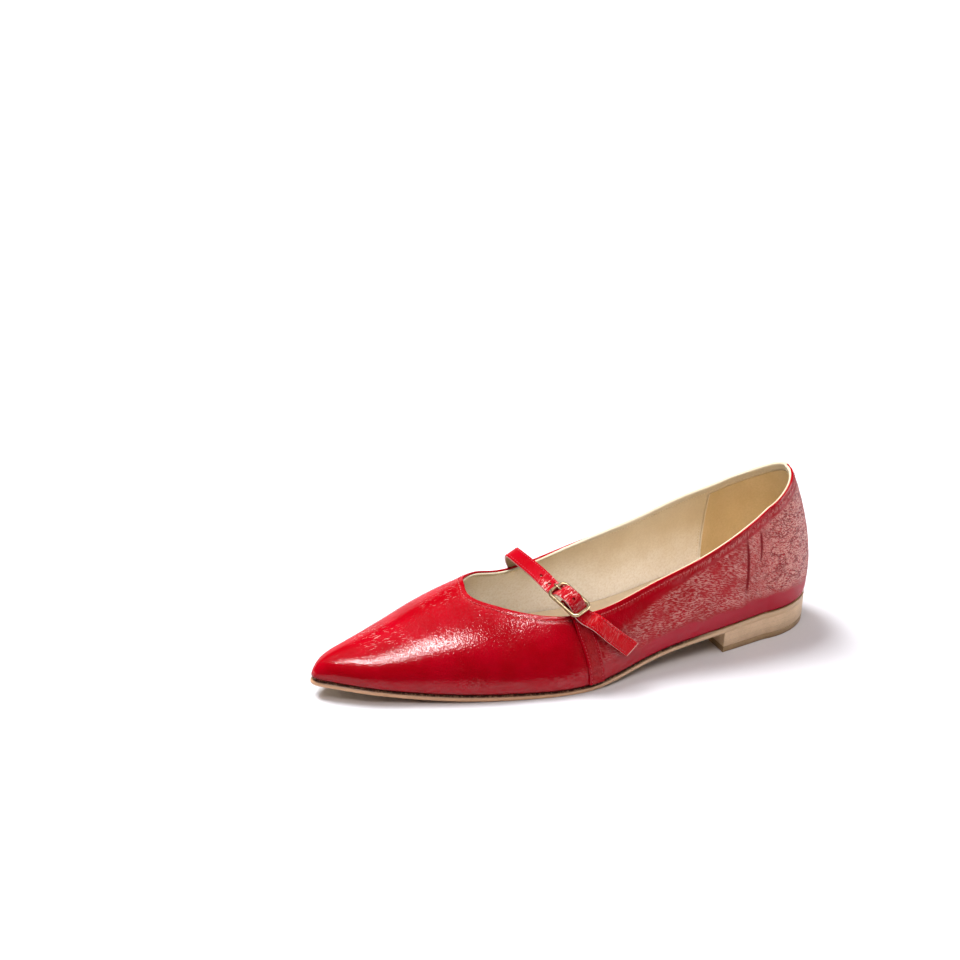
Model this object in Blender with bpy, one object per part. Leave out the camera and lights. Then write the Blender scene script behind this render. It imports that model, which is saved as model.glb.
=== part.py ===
"""A left pointed ballet flat with a buckled instep strap, built as its maker puts it together.

X runs across the shoe with the outer side at +X, the toe points to -Y and Z is up. The shoe stands
on the plane z = 0 on its top lift and on the flat of its outsole under the ball. Tables and sizes are
in millimetres and turn into metres when a mesh is made. Places along the shoe are measured forwards
from the back of the heel ("from_heel") or backwards from the toe tip ("behind_tip").
"""
import math

import bmesh
import bpy
import numpy as np

MM = 0.001
LENGTH = 262.0          # seat length of the shoe, heel to toe tip
ORIGIN_X = 4.85         # the middle of the whole shoe's box, across
ORIGIN_S = 130.75       # and along, forwards from the heel
HEEL_FAN = 33.0         # the ribs of the heel fan out over this length
HEEL_ROUND = 2.05       # exponent of the heel's outline: 2 is a half ellipse
WALL = 1.8              # upper leather and lining together
GAP = 0.3               # air left between pieces that touch
SOLE = 2.6              # outsole
INSOLE = 2.5            # insole board and sock
INSOLE_INSET = 2.4      # from the seat's edge, inside the wall
INSOLE_FRONT = 12.0     # the insole stops this far behind the toe tip
SOLE_MARGIN = 0.3       # the sole's edge stands out past the upper
BREAST = 58.5           # front face of the heel, from the back
LIFT = 3.0              # top lift
RIM = 0.7               # the folded topline rises this much between its two faces

OUTER, INNER = 1, -1    # sides of the shoe

# The last, by cross sections. outer and inner are the edges of its bottom, seat is that edge's height,
# and a rib rises from each edge to the crown line, at crown_x and crown_rise above the seat. A rib is
# a Bezier curve: stand is its lower handle as a share of the rise, swell_outer and swell_inner lean
# that handle outwards, and shoulder is the upper handle as a share of the half width.
SECTION_COLUMNS = ("behind_tip", "outer", "inner", "seat", "crown_x", "crown_rise",
                   "stand", "shoulder", "swell_outer", "swell_inner")
SECTIONS = (
    (0.0, 0.0, 0.0, 9.25, 0.0, 0.0, 0.55, 0.50, 1.0, 1.0),
    (2.0, 3.5, -3.5, 9.00, 0.0, 6.0, 0.55, 0.50, 1.0, 1.0),
    (8.0, 8.0, -8.5, 8.75, -0.5, 10.2, 0.60, 0.55, 1.0, 1.5),
    (20.0, 15.5, -14.0, 7.75, -1.0, 14.8, 0.60, 0.55, 1.0, 1.5),
    (42.0, 24.0, -24.0, 5.25, -2.5, 23.7, 0.55, 0.50, 1.0, 1.0),
    (68.0, 32.5, -32.0, 3.50, -6.0, 34.0, 0.50, 0.50, 1.0, 0.5),
    (95.0, 39.0, -33.5, 2.75, -8.0, 42.0, 0.40, 0.45, 1.0, 0.0),
    (130.0, 41.5, -28.5, 3.50, -3.5, 52.0, 0.35, 0.50, 1.5, 0.0),
    (165.0, 34.5, -20.0, 9.25, -1.0, 66.5, 0.30, 0.55, 2.0, 1.0),
    (200.0, 31.0, -24.0, 13.00, 0.0, 79.5, 0.30, 0.60, 3.0, 3.0),
    (229.0, 26.0, -26.0, 14.25, 0.0, 82.5, 0.30, 0.60, 4.0, 4.5),
    (262.0, 21.0, -28.5, 15.00, 0.0, 80.0, 0.30, 0.60, 5.0, 7.0),
)

# The topline, from the back of the heel along the outer side to the throat and back along the inner
# side. share is how far up its rib the edge lies, from 0 at the seat to 1 at the crown line.
TOPLINE_COLUMNS = ("side", "from_heel", "share")
TOPLINE = (
    (OUTER, 0.0, 0.627),
    (OUTER, 20.0, 0.593),
    (OUTER, 40.0, 0.496),
    (OUTER, 70.0, 0.424),
    (OUTER, 100.0, 0.429),
    (OUTER, 130.0, 0.469),
    (OUTER, 155.0, 0.541),
    (OUTER, 176.0, 0.698),
    (OUTER, 184.0, 0.884),
    (OUTER, 182.0, 1.0),
    (INNER, 180.9, 0.920),
    (INNER, 175.4, 0.805),
    (INNER, 155.0, 0.570),
    (INNER, 130.0, 0.586),
    (INNER, 100.0, 0.537),
    (INNER, 70.0, 0.473),
    (INNER, 40.0, 0.479),
    (INNER, 20.0, 0.548),
    (INNER, 0.0, 0.627),
)
THROAT_ROW = 9          # the row of TOPLINE on the crown line

UPPER_COLUMNS = 92      # quads round the upper
UPPER_ROWS = 9          # quads from the seat to the topline
TIP_CROWDING = 0.1      # smaller values spread the columns more evenly, larger ones crowd the toe tip
HEEL_CROWDING = 0.3     # narrows the columns round the heel
TOP_CROWDING = (0.35, 1.02, -0.37)      # cubic that keeps the columns upright along the topline
ROW_CROWDING = 1.15     # narrows the rows towards the seat
TIP_ROWS = 0.9          # and more so at the toe tip
SOLE_STATIONS = 44
INSOLE_STATIONS = 36
SOLE_ACROSS = 4
ROUND_SHARE = 0.75      # how much the soles' stations gather at the heel and the tip
HEEL_STATIONS = (13, 5)                 # round the heel's back, and along its sides

# The buckle: a frame of round wire with a bar across its middle. Its own axes are "along" the strap
# towards the outer side, "across" towards the heel and "out" away from the foot.
BUCKLE_CENTRE = (23.9, 142.4, 40.5)     # x, from_heel, z
BUCKLE_HEADING = 20.0                   # degrees from +X towards the heel
BUCKLE_PITCH = 18.0                     # degrees down towards the outer side
BUCKLE_ROLL = 17.0                      # degrees, the heel side up
BUCKLE_LENGTH = 19.6
BUCKLE_WIDTH = 11.6
BUCKLE_CORNER = 2.6
WIRE_RADIUS = 0.7
BAR_RADIUS = 0.6
PRONG_RADIUS = 0.5
HOOK_POINTS = 9         # points round the prong's eye

STRAP_WIDTH = 7.8
STRAP = 1.2             # strap thickness, two leathers
CHAPE = 0.9             # chape thickness, one skived leather
CHAPE_SLOT = 2.0        # width of the slot in the chape's loop for the prong
SLOT_ALONG = (-4.0, 3.0)                # and its reach along and out, from the bar
SLOT_OUT = (-2.6, 4.0)
STRAP_STATIONS = 72
CHAPE_STATIONS = 46
EDGE_CHAMFER = 0.25
SLACK = 0.3             # a stiff strap keeps this much more than GAP off a wire or a round wall

# Where the strap's band climbs the inner wall and the chape's band climbs the outer wall: from_heel of
# the band's middle line at the seat and at the topline.
STRAP_BAND = (139.5, 146.0)
CHAPE_BAND = (134.2, 139.7)
CHAPE_LEAVES = 0.78     # the chape leaves the wall this far up towards the topline
BAND_STEPS = 6

# Middle lines where the leather runs free, with the direction of its heel-side edge. The strap rises
# past the inner topline, folds over on a slanting line and crosses to the buckle; its free end lies
# back over the outer quarter.
FREE_COLUMNS = ("x", "from_heel", "z", "edge_x", "edge_s", "edge_z")
STRAP_RISE = (
    (-22.0, 147.6, 40.2, -0.05, -0.97, 0.22),
    (-21.2, 149.0, 43.3, -0.30, -0.93, 0.18),
    (-19.1, 150.0, 45.2, -0.38, -0.91, 0.15),
    (-15.6, 150.0, 45.6, -0.34, -0.92, 0.18),
    (-4.0, 148.5, 45.0, -0.25, -0.94, 0.24),
    (6.0, 146.8, 43.5, -0.24, -0.93, 0.27),
)
STRAP_TAIL = (
    (35.0, 134.4, 33.0, -0.32, -0.82, 0.45),
    (37.8, 127.9, 27.6, -0.28, -0.78, 0.56),
    (39.6, 121.4, 22.2, -0.20, -0.77, 0.60),
    (40.7, 115.8, 17.6, -0.15, -0.77, 0.62),
)
CHAPE_RISE = (
    (32.3, 138.8, 31.0, -0.08, -0.96, 0.26),
    (30.1, 139.6, 33.9, -0.16, -0.94, 0.28),
    (27.8, 140.5, 36.2, -0.22, -0.93, 0.28),
    (25.5, 141.5, 38.0, -0.24, -0.93, 0.28),
)

COLOURS = {
    "upper": ((0.48, 0.002, 0.012, 1.0), 0.25, 0.0),
    "outsole": ((0.52, 0.34, 0.17, 1.0), 0.45, 0.0),
    "heel_stack": ((0.50, 0.40, 0.26, 1.0), 0.55, 0.0),
    "top_lift": ((0.42, 0.33, 0.19, 1.0), 0.60, 0.0),
    "insole": ((0.76, 0.62, 0.42, 1.0), 0.50, 0.0),
    "strap": ((0.50, 0.002, 0.012, 1.0), 0.20, 0.0),
    "chape_band": ((0.48, 0.002, 0.012, 1.0), 0.22, 0.0),
    "buckle_frame": ((0.80, 0.66, 0.42, 1.0), 0.25, 1.0),
    "buckle_prong": ((0.80, 0.66, 0.42, 1.0), 0.25, 1.0),
}


# ---------------------------------------------------------------- numbers

def natural_spline(knots, values, at):
    """Values at `at` of the natural cubic spline through the knots."""
    knots = np.asarray(knots, float)
    values = np.asarray(values, float)
    count = len(knots)
    step = np.diff(knots)
    matrix = np.eye(count)
    right = np.zeros(count)
    for i in range(1, count - 1):
        matrix[i, i - 1:i + 2] = (step[i - 1], 2 * (step[i - 1] + step[i]), step[i])
        right[i] = 6 * ((values[i + 1] - values[i]) / step[i] - (values[i] - values[i - 1]) / step[i - 1])
    bend = np.linalg.solve(matrix, right)
    at = np.asarray(at, float)
    i = np.clip(np.searchsorted(knots, at) - 1, 0, count - 2)
    away = at - knots[i]
    slope = (values[i + 1] - values[i]) / step[i] - step[i] * (2 * bend[i] + bend[i + 1]) / 6
    twist = (bend[i + 1] - bend[i]) / (6 * step[i])
    return values[i] + slope * away + bend[i] / 2 * away ** 2 + twist * away ** 3


def unit(vectors):
    vectors = np.asarray(vectors, float)
    return vectors / np.linalg.norm(vectors, axis=-1, keepdims=True)


def smooth_path(points, count):
    """`count` points, evenly spaced, on a smooth curve through the given points."""
    points = np.asarray(points, float)
    chord = np.concatenate([[0.0], np.cumsum(np.linalg.norm(np.diff(points[:, :3], axis=0), axis=1))])
    at = np.linspace(0.0, chord[-1], count)
    return np.stack([natural_spline(chord, points[:, k], at) for k in range(points.shape[1])], -1)


# ---------------------------------------------------------------- the last

def section(name, from_heel):
    """A column of SECTIONS at a place along the shoe; the root makes the toe tip round."""
    k = SECTION_COLUMNS.index(name)
    knots = np.sqrt([row[0] for row in SECTIONS])
    return natural_spline(knots, [row[k] for row in SECTIONS], np.sqrt(np.maximum(LENGTH - from_heel, 0.0)))


def seat_edge(side, run):
    """x, from_heel and z of the bottom edge; up to HEEL_FAN the run turns round the heel."""
    run = np.asarray(run, float)
    turn = np.clip(run / HEEL_FAN, 0.0, 1.0) * math.pi / 2
    column = "outer" if side == OUTER else "inner"
    widest = section(column, HEEL_FAN)
    round_x = widest * np.sin(turn) ** (2 / HEEL_ROUND)
    round_s = HEEL_FAN * (1 - np.cos(turn) ** (2 / HEEL_ROUND))
    in_heel = run < HEEL_FAN
    x = np.where(in_heel, round_x, section(column, np.maximum(run, HEEL_FAN)))
    s = np.where(in_heel, round_s, run)
    return x, s, section("seat", s)


def rib(side, run, share):
    """Points on the last's surface: `share` of the way up the rib that starts at `run`."""
    edge_x, edge_s, edge_z = seat_edge(side, run)
    crown_s = np.maximum(run, HEEL_FAN)
    crown_x = section("crown_x", crown_s)
    crown_z = section("seat", crown_s) + section("crown_rise", crown_s)
    reach = np.maximum(np.hypot(edge_x - crown_x, edge_s - crown_s), 1e-6)
    rise = crown_z - edge_z
    swell = section("swell_outer" if side == OUTER else "swell_inner", edge_s)
    low = 3 * share * (1 - share) ** 2
    high = 3 * share ** 2 * (1 - share)
    out = (1 - share) ** 3 * reach + low * (reach + swell) + high * reach * section("shoulder", edge_s)
    up = low * rise * section("stand", edge_s) + high * rise + share ** 3 * rise
    return np.stack([crown_x + (edge_x - crown_x) / reach * out,
                     crown_s + (edge_s - crown_s) / reach * out,
                     edge_z + up], -1)


def measure_girths():
    """Rib length, seat to crown, on each side at every run."""
    near_tip = 12.0     # the runs crowd together over this last stretch
    runs = np.concatenate([np.linspace(0.0, LENGTH - near_tip, 200),
                           LENGTH - near_tip * np.linspace(1, 0, 60)[1:] ** 2])
    shares = np.linspace(0.0, 1.0, 41)
    lengths = {}
    for side in (OUTER, INNER):
        points = np.stack([rib(side, runs, share) for share in shares])
        lengths[side] = np.linalg.norm(np.diff(points, axis=0), axis=2).sum(0)
    return runs, lengths


GIRTH_RUNS, GIRTHS = measure_girths()


def girth(side, run):
    return np.interp(run, GIRTH_RUNS, GIRTHS[side])


def on_pattern(run, from_crown):
    """Surface points from the flat pattern: along the shoe, and signed distance from the crown line."""
    points = np.zeros(np.shape(run) + (3,))
    for side in (OUTER, INNER):
        share = 1 - np.clip(np.abs(from_crown) / np.maximum(girth(side, run), 1e-6), 0.0, 1.0)
        here = (from_crown * side >= 0)[..., None]
        points = np.where(here, rib(side, run, share), points)
    return points


def topline_pattern(side, ease):
    """The topline on the flat pattern, at places set by `ease` from 0 at the heel to 1 at the throat."""
    runs = np.array([row[1] for row in TOPLINE])
    shares = np.array([row[2] for row in TOPLINE])
    sides = np.array([row[0] for row in TOPLINE])
    from_crown = np.array([side_ * (1 - share) * girth(side_, run)
                           for side_, run, share in zip(sides, runs, shares)])
    chord = np.concatenate([[0.0], np.cumsum(np.hypot(np.diff(runs), np.diff(from_crown)))])
    start, throat, end = chord[0], chord[THROAT_ROW], chord[-1]
    mirrored = [np.concatenate([[sign * line[1]], line, [sign * line[-2]]])
                for sign, line in ((-1, runs), (1, from_crown))]
    chord = np.concatenate([[start - chord[1]], chord, [2 * end - chord[-2]]])
    at = throat + ((start if side == OUTER else end) - throat) * (1 - ease)
    return [natural_spline(chord, line, at) for line in mirrored]


def upper_grid(columns, rows):
    """Outer face of the upper: a ring of columns from the seat edge up to the topline."""
    half = columns // 2 + 1
    left = np.linspace(1.0, 0.0, half)
    left = left * (1 + HEEL_CROWDING * (1 - left))
    seat_run = LENGTH - LENGTH * (1 + TIP_CROWDING) * left ** 2 / (left + TIP_CROWDING)
    ease = 1 - sum(weight * left ** (k + 1) for k, weight in enumerate(TOP_CROWDING))
    rise = np.linspace(0.0, 1.0, rows + 1)[:, None] ** (ROW_CROWDING + TIP_ROWS * (1 - left) ** 4)
    halves = {}
    for side in (OUTER, INNER):
        top_run, top_crown = topline_pattern(side, ease)
        seat_crown = side * girth(side, seat_run)
        run = seat_run + (top_run - seat_run) * rise
        from_crown = seat_crown + (top_crown - seat_crown) * rise
        halves[side] = on_pattern(run, from_crown)
    return np.concatenate([halves[OUTER], halves[INNER][:, -2:0:-1]], axis=1)


def grid_normals(grid):
    """Outward unit normals of a ring grid (rows, columns, 3)."""
    around = np.roll(grid, -1, axis=1) - np.roll(grid, 1, axis=1)
    upward = np.gradient(grid, axis=0)
    return unit(np.cross(around, upward))


# ---------------------------------------------------------------- meshes

def to_world(points):
    """x, from_heel, z in millimetres to metres, with the toe at -Y and the origin under the middle."""
    points = np.asarray(points, float).reshape(-1, 3)
    return np.stack([points[:, 0] - ORIGIN_X, ORIGIN_S - points[:, 1], points[:, 2]], -1) * MM


def make_material(name):
    colour, roughness, metallic = COLOURS[name]
    material = bpy.data.materials.new(name)
    material.use_nodes = True
    shader = material.node_tree.nodes["Principled BSDF"]
    shader.inputs["Base Color"].default_value = colour
    shader.inputs["Roughness"].default_value = roughness
    shader.inputs["Metallic"].default_value = metallic
    return material


def make_object(name, points, faces, sharp_degrees=40.0):
    """One closed, smooth-shaded object from points in shoe millimetres."""
    mesh = bpy.data.meshes.new(name)
    mesh.from_pydata([tuple(p) for p in to_world(points)], [], faces)
    work = bmesh.new()
    work.from_mesh(mesh)
    bmesh.ops.remove_doubles(work, verts=work.verts, dist=0.002 * MM)
    bmesh.ops.dissolve_degenerate(work, edges=work.edges, dist=0.001 * MM)
    bmesh.ops.recalc_face_normals(work, faces=work.faces)
    work.to_mesh(mesh)
    work.free()
    mesh.shade_smooth()
    mesh.set_sharp_from_angle(angle=math.radians(sharp_degrees))
    mesh.materials.append(make_material(name))
    item = bpy.data.objects.new(name, mesh)
    bpy.context.scene.collection.objects.link(item)
    return item


def ring_faces(row_a, row_b, count):
    """Quads between two closed rings of point numbers that start at row_a and row_b."""
    return [(row_a + i, row_a + (i + 1) % count, row_b + (i + 1) % count, row_b + i) for i in range(count)]


def sweep(centres, widths, outs, outline, closed=False):
    """Points and faces of an outline (across, out) carried along a path of frames."""
    outline = np.asarray(outline, float)
    rings = centres[:, None] + outline[:, 0, None] * widths[:, None] + outline[:, 1, None] * outs[:, None]
    count = len(outline)
    stations = len(centres)
    faces = []
    for k in range(stations if closed else stations - 1):
        faces += ring_faces(k * count, (k + 1) % stations * count, count)
    if not closed:
        faces.append(tuple(range(count)))
        faces.append(tuple(range((stations - 1) * count, stations * count)))
    return rings.reshape(-1, 3), faces


def frames(centres, edges):
    """Directions across and out of a band; a slanting edge is lengthened to keep the band's width."""
    along = unit(np.gradient(centres, axis=0))
    across = unit(edges)
    square = np.cross(along, across)
    slant = np.linalg.norm(square, axis=1, keepdims=True)
    return across / slant, -square / slant


def strap_outline(width, thickness):
    """A flat strap's cross section with chamfered edges."""
    w, t, c = width / 2, thickness / 2, EDGE_CHAMFER
    upper_half = [(-w, t - c), (-w + c, t), (w - c, t), (w, t - c)]
    return upper_half + [(-a, -b) for a, b in upper_half]


def circle(radius, sides):
    angles = np.arange(sides) * 2 * math.pi / sides
    return np.stack([radius * np.cos(angles), radius * np.sin(angles)], -1)


def combine(target, guide, operation):
    """Boolean of a hidden guide object and the target, applied when the target is read."""
    guide.hide_render = True
    guide.display_type = "WIRE"
    modifier = target.modifiers.new(guide.name, "BOOLEAN")
    modifier.operation = operation
    modifier.solver = "EXACT"
    modifier.object = guide


# ---------------------------------------------------------------- upper and bottom

def build_upper():
    outside = upper_grid(UPPER_COLUMNS, UPPER_ROWS)
    normals = grid_normals(outside)
    inside = outside - WALL * normals
    inside[0, :, 2] = outside[0, :, 2]
    up = unit(outside[-1] - outside[-2])
    rim = (outside[-1] + inside[-1]) / 2 + RIM * up
    rings = np.concatenate([outside, rim[None], inside[::-1]])
    count = outside.shape[1]
    faces = []
    for k in range(len(rings)):
        faces += ring_faces(k * count, (k + 1) % len(rings) * count, count)
    return make_object("upper", rings, faces, 60.0)


def grown_edge(side, runs, grow):
    """The seat's edge moved outwards by `grow` in plan."""
    before = np.stack(seat_edge(side, np.maximum(runs - 0.2, 0.0)))[:2]
    after = np.stack(seat_edge(side, np.minimum(runs + 0.2, LENGTH)))[:2]
    along = (after - before) / np.linalg.norm(after - before, axis=0)
    x, s, _ = seat_edge(side, runs)
    out_x, out_s = along[1] * side, -along[0] * side
    out_s = np.where(runs <= 0.0, -1.0, np.where(runs >= LENGTH, 1.0, out_s))
    out_x = np.where((runs <= 0.0) | (runs >= LENGTH), 0.0, out_x)
    return x + grow * out_x, s + grow * out_s


def slab(name, runs, grow, top, bottom):
    """A sheet cut to the shoe's outline, between two heights given along the shoe."""
    outer_x, outer_s = grown_edge(OUTER, runs, grow)
    inner_x, inner_s = grown_edge(INNER, runs, grow)
    blend = np.linspace(0.0, 1.0, SOLE_ACROSS + 1)
    x = outer_x[:, None] + (inner_x - outer_x)[:, None] * blend
    s = outer_s[:, None] + (inner_s - outer_s)[:, None] * blend
    layers = [np.stack([x, s, height(s)], -1) for height in (top, bottom)]
    loops = [np.concatenate([upper, lower[::-1]]) for upper, lower in zip(*layers)]
    count = 2 * (SOLE_ACROSS + 1)
    faces = []
    for k in range(len(runs) - 1):
        faces += ring_faces(k * count, (k + 1) * count, count)
    for start in (0, (len(runs) - 1) * count):
        faces += [(start + j, start + j + 1, start + count - 2 - j, start + count - 1 - j)
                  for j in range(SOLE_ACROSS)]
    return make_object(name, np.concatenate(loops), faces, 35.0)


def runs_between(start, end, count):
    """Runs along the seat, closer together where its outline turns round the heel and the tip."""
    spread = (1 - np.cos(np.linspace(0.0, math.pi, count))) / 2
    even = np.linspace(0.0, 1.0, count)
    return start + (end - start) * (ROUND_SHARE * spread + (1 - ROUND_SHARE) * even)


def sole_bottom(s):
    return np.maximum(section("seat", s) - GAP - SOLE, 0.0)


def build_bottom():
    runs = runs_between(0.0, LENGTH, SOLE_STATIONS)
    slab("outsole", runs, SOLE_MARGIN, lambda s: section("seat", s) - GAP, sole_bottom)
    round_count, side_count = HEEL_STATIONS
    heel_runs = np.concatenate([np.linspace(0.0, HEEL_FAN, round_count),
                                np.linspace(HEEL_FAN, BREAST, side_count)[1:]])
    slab("heel_stack", heel_runs, SOLE_MARGIN, lambda s: sole_bottom(s) - GAP, lambda s: s * 0 + LIFT + GAP)
    slab("top_lift", heel_runs, SOLE_MARGIN, lambda s: s * 0 + LIFT, lambda s: s * 0)
    board_runs = runs_between(0.0, LENGTH - INSOLE_FRONT, INSOLE_STATIONS)
    slab("insole", board_runs, -INSOLE_INSET,
         lambda s: section("seat", s) + INSOLE, lambda s: section("seat", s))


# ---------------------------------------------------------------- strap and buckle

def buckle_axes():
    """Along, across and out directions of the buckle in x, from_heel, z."""
    heading, pitch, roll = (math.radians(a) for a in (BUCKLE_HEADING, BUCKLE_PITCH, BUCKLE_ROLL))
    along = np.array([math.cos(heading) * math.cos(pitch), -math.sin(heading) * math.cos(pitch),
                      -math.sin(pitch)])
    level = np.array([-math.sin(heading), -math.cos(heading), 0.0])
    upright = -np.cross(along, level)
    across = level * math.cos(roll) + upright * math.sin(roll)
    out = upright * math.cos(roll) - level * math.sin(roll)
    return along, across, out


ALONG, ACROSS, OUT = buckle_axes()


def at_buckle(along, out, across=0.0):
    """A point given in the buckle's own axes."""
    along, out, across = (np.asarray(v, float)[..., None] for v in (along, out, across))
    return np.array(BUCKLE_CENTRE) + along * ALONG + across * ACROSS + out * OUT


def wall_band(side, seat_run, top_run, lift, height=1.0):
    """Middle line and edge directions of a band that climbs the wall, `lift` off its surface."""
    top_share = topline_share(side, top_run)
    shares = np.linspace(0.02, top_share * height, BAND_STEPS)
    runs = seat_run + (top_run - seat_run) * (shares / top_share) ** 1.5
    here = np.array([rib(side, r, t) for r, t in zip(runs, shares)])
    higher = np.array([rib(side, r, t + 0.01) for r, t in zip(runs, shares)])
    ahead = np.array([rib(side, r + 0.5, t) for r, t in zip(runs, shares)])
    normals = unit(np.cross(higher - here, ahead - here))
    normals *= np.sign(normals[:, :1] * side)
    edges = unit(np.cross(normals, np.gradient(here, axis=0)))
    edges *= -np.sign(edges[:, 1:2])
    return np.concatenate([here + lift * normals, edges], axis=1)


def topline_share(side, run):
    """How far up its rib the topline lies, beside the foot opening."""
    run_line, crown_line = topline_pattern(side, np.linspace(0.0, 0.85, 80))
    share_line = 1 - np.abs(crown_line) / girth(side, run_line)
    return float(np.interp(run, run_line, share_line))


def strap_path():
    """Middle line and edge directions of the strap, from the inner seat edge to its free tip."""
    under = WIRE_RADIUS + GAP + STRAP / 2 + SLACK
    over = BAR_RADIUS + GAP + 2 * PRONG_RADIUS + GAP + STRAP / 2
    reach = BUCKLE_LENGTH / 2 - WIRE_RADIUS
    climb = wall_band(INNER, *STRAP_BAND, GAP + STRAP / 2 + SLACK)
    hump = ((-reach, -under), (-reach * 0.78, -under * 0.8), (-reach * 0.25, over * 0.72), (0.0, over),
            (reach * 0.25, over * 0.72), (reach * 0.78, -under * 0.8), (reach, -under))
    through = [np.concatenate([at_buckle(along, out), ACROSS]) for along, out in hump]
    return np.concatenate([climb, STRAP_RISE, through, STRAP_TAIL])


def build_strap():
    path = smooth_path(strap_path(), STRAP_STATIONS)
    widths, outs = frames(path[:, :3], path[:, 3:])
    points, faces = sweep(path[:, :3], widths, outs, strap_outline(STRAP_WIDTH, STRAP))
    strap = make_object("strap", points, faces)
    hole = make_tube("strap_hole", prong_line()[HOOK_POINTS - 1:-2], PRONG_RADIUS + GAP + SLACK / 2, 8)
    combine(strap, hole, "DIFFERENCE")


def chape_path():
    """Middle line and edge directions of the chape: up the outer wall and round the buckle's bar."""
    loop = BAR_RADIUS + GAP + CHAPE / 2
    climb = wall_band(OUTER, *CHAPE_BAND, GAP + CHAPE / 2 + SLACK, CHAPE_LEAVES)
    turns = np.radians(np.linspace(-90.0, 150.0, 9))
    loop_rows = [np.concatenate([at_buckle(-loop * math.cos(a), loop * math.sin(a)), ACROSS])
                 for a in turns]
    return np.concatenate([climb, CHAPE_RISE, loop_rows])


def build_chape():
    path = smooth_path(chape_path(), CHAPE_STATIONS)
    widths, outs = frames(path[:, :3], path[:, 3:])
    points, faces = sweep(path[:, :3], widths, outs, strap_outline(STRAP_WIDTH, CHAPE))
    chape = make_object("chape_band", points, faces)
    half = CHAPE_SLOT / 2
    corners = [at_buckle(a, o, c) for a in SLOT_ALONG for o in SLOT_OUT for c in (-half, half)]
    sides = [(0, 1, 3, 2), (4, 6, 7, 5), (0, 4, 5, 1), (2, 3, 7, 6), (0, 2, 6, 4), (1, 5, 7, 3)]
    slot = make_plain("chape_slot", corners, sides)
    combine(chape, slot, "DIFFERENCE")


def make_plain(name, points, faces):
    """A guide: a closed mesh with no material."""
    mesh = bpy.data.meshes.new(name)
    mesh.from_pydata([tuple(p) for p in to_world(points)], [], faces)
    work = bmesh.new()
    work.from_mesh(mesh)
    bmesh.ops.recalc_face_normals(work, faces=work.faces)
    work.to_mesh(mesh)
    work.free()
    item = bpy.data.objects.new(name, mesh)
    bpy.context.scene.collection.objects.link(item)
    return item


def tube_parts(centres, radius, sides, closed=False):
    """Points and faces of a round wire along a path in the buckle's plane of symmetry or beside it."""
    if closed:
        along = unit(np.roll(centres, -1, axis=0) - np.roll(centres, 1, axis=0))
    else:
        along = unit(np.gradient(centres, axis=0))
    guide = OUT if np.max(np.abs(along @ OUT)) < 0.3 else ACROSS
    widths = unit(np.cross(along, guide))
    return sweep(centres, widths, unit(np.cross(widths, along)), circle(radius, sides), closed)


def make_tube(name, centres, radius, sides):
    points, faces = tube_parts(centres, radius, sides)
    return make_plain(name, points, faces)


def build_frame():
    half_along = BUCKLE_LENGTH / 2 - WIRE_RADIUS
    half_across = BUCKLE_WIDTH / 2 - WIRE_RADIUS
    line = []
    for corner, (a, c) in enumerate(((1, 1), (-1, 1), (-1, -1), (1, -1))):
        for turn in np.radians(np.linspace(0.0, 90.0, 5) + 90.0 * corner):
            line.append(((half_along - BUCKLE_CORNER) * a + BUCKLE_CORNER * math.cos(turn),
                         (half_across - BUCKLE_CORNER) * c + BUCKLE_CORNER * math.sin(turn)))
    line = np.array(line)
    points, faces = tube_parts(at_buckle(line[:, 0], 0.0 * line[:, 0], line[:, 1]), WIRE_RADIUS, 8, True)
    frame = make_object("buckle_frame", points, faces)
    ends = at_buckle(np.zeros(2), np.zeros(2), np.array([-half_across, half_across]))
    bar = make_tube("buckle_bar", ends, BAR_RADIUS, 8)
    combine(frame, bar, "UNION")


def prong_line():
    """The prong's middle line: an eye round the bar, then out over the frame's inner-side end."""
    eye = BAR_RADIUS + GAP + PRONG_RADIUS
    turns = np.radians(np.linspace(-110.0, 90.0, HOOK_POINTS))
    hook = [(eye * math.cos(a), eye * math.sin(a)) for a in turns]
    reach = BUCKLE_LENGTH / 2 - WIRE_RADIUS
    rest = WIRE_RADIUS + GAP + PRONG_RADIUS
    straight = [(-reach * f, eye + (rest - eye) * f) for f in (0.15, 0.3, 0.45, 0.6, 0.75, 0.9, 1.0)]
    straight.append((-reach - 1.0, rest))
    line = np.array(hook + straight)
    return at_buckle(line[:, 0], line[:, 1])


def build_prong():
    points, faces = tube_parts(prong_line(), PRONG_RADIUS, 8)
    make_object("buckle_prong", points, faces)


def main():
    for item in list(bpy.data.objects):
        bpy.data.objects.remove(item, do_unlink=True)
    build_upper()
    build_bottom()
    build_strap()
    build_chape()
    build_frame()
    build_prong()


main()
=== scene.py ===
"""The looks of a left pointed ballet flat: glossy red crinkled leather over a beige lining, a buckled
instep strap, a thin leather sole and a low stacked heel.

Shapes are worked out in shoe millimetres: x across with the outer side at +x, from_heel forwards from the
back of the heel, z up. to_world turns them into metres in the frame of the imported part, toe at -Y.
"""
from math import cos, pi, radians, sin

import bmesh
import bpy
import numpy as np
from mathutils import Matrix, Vector, noise


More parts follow.
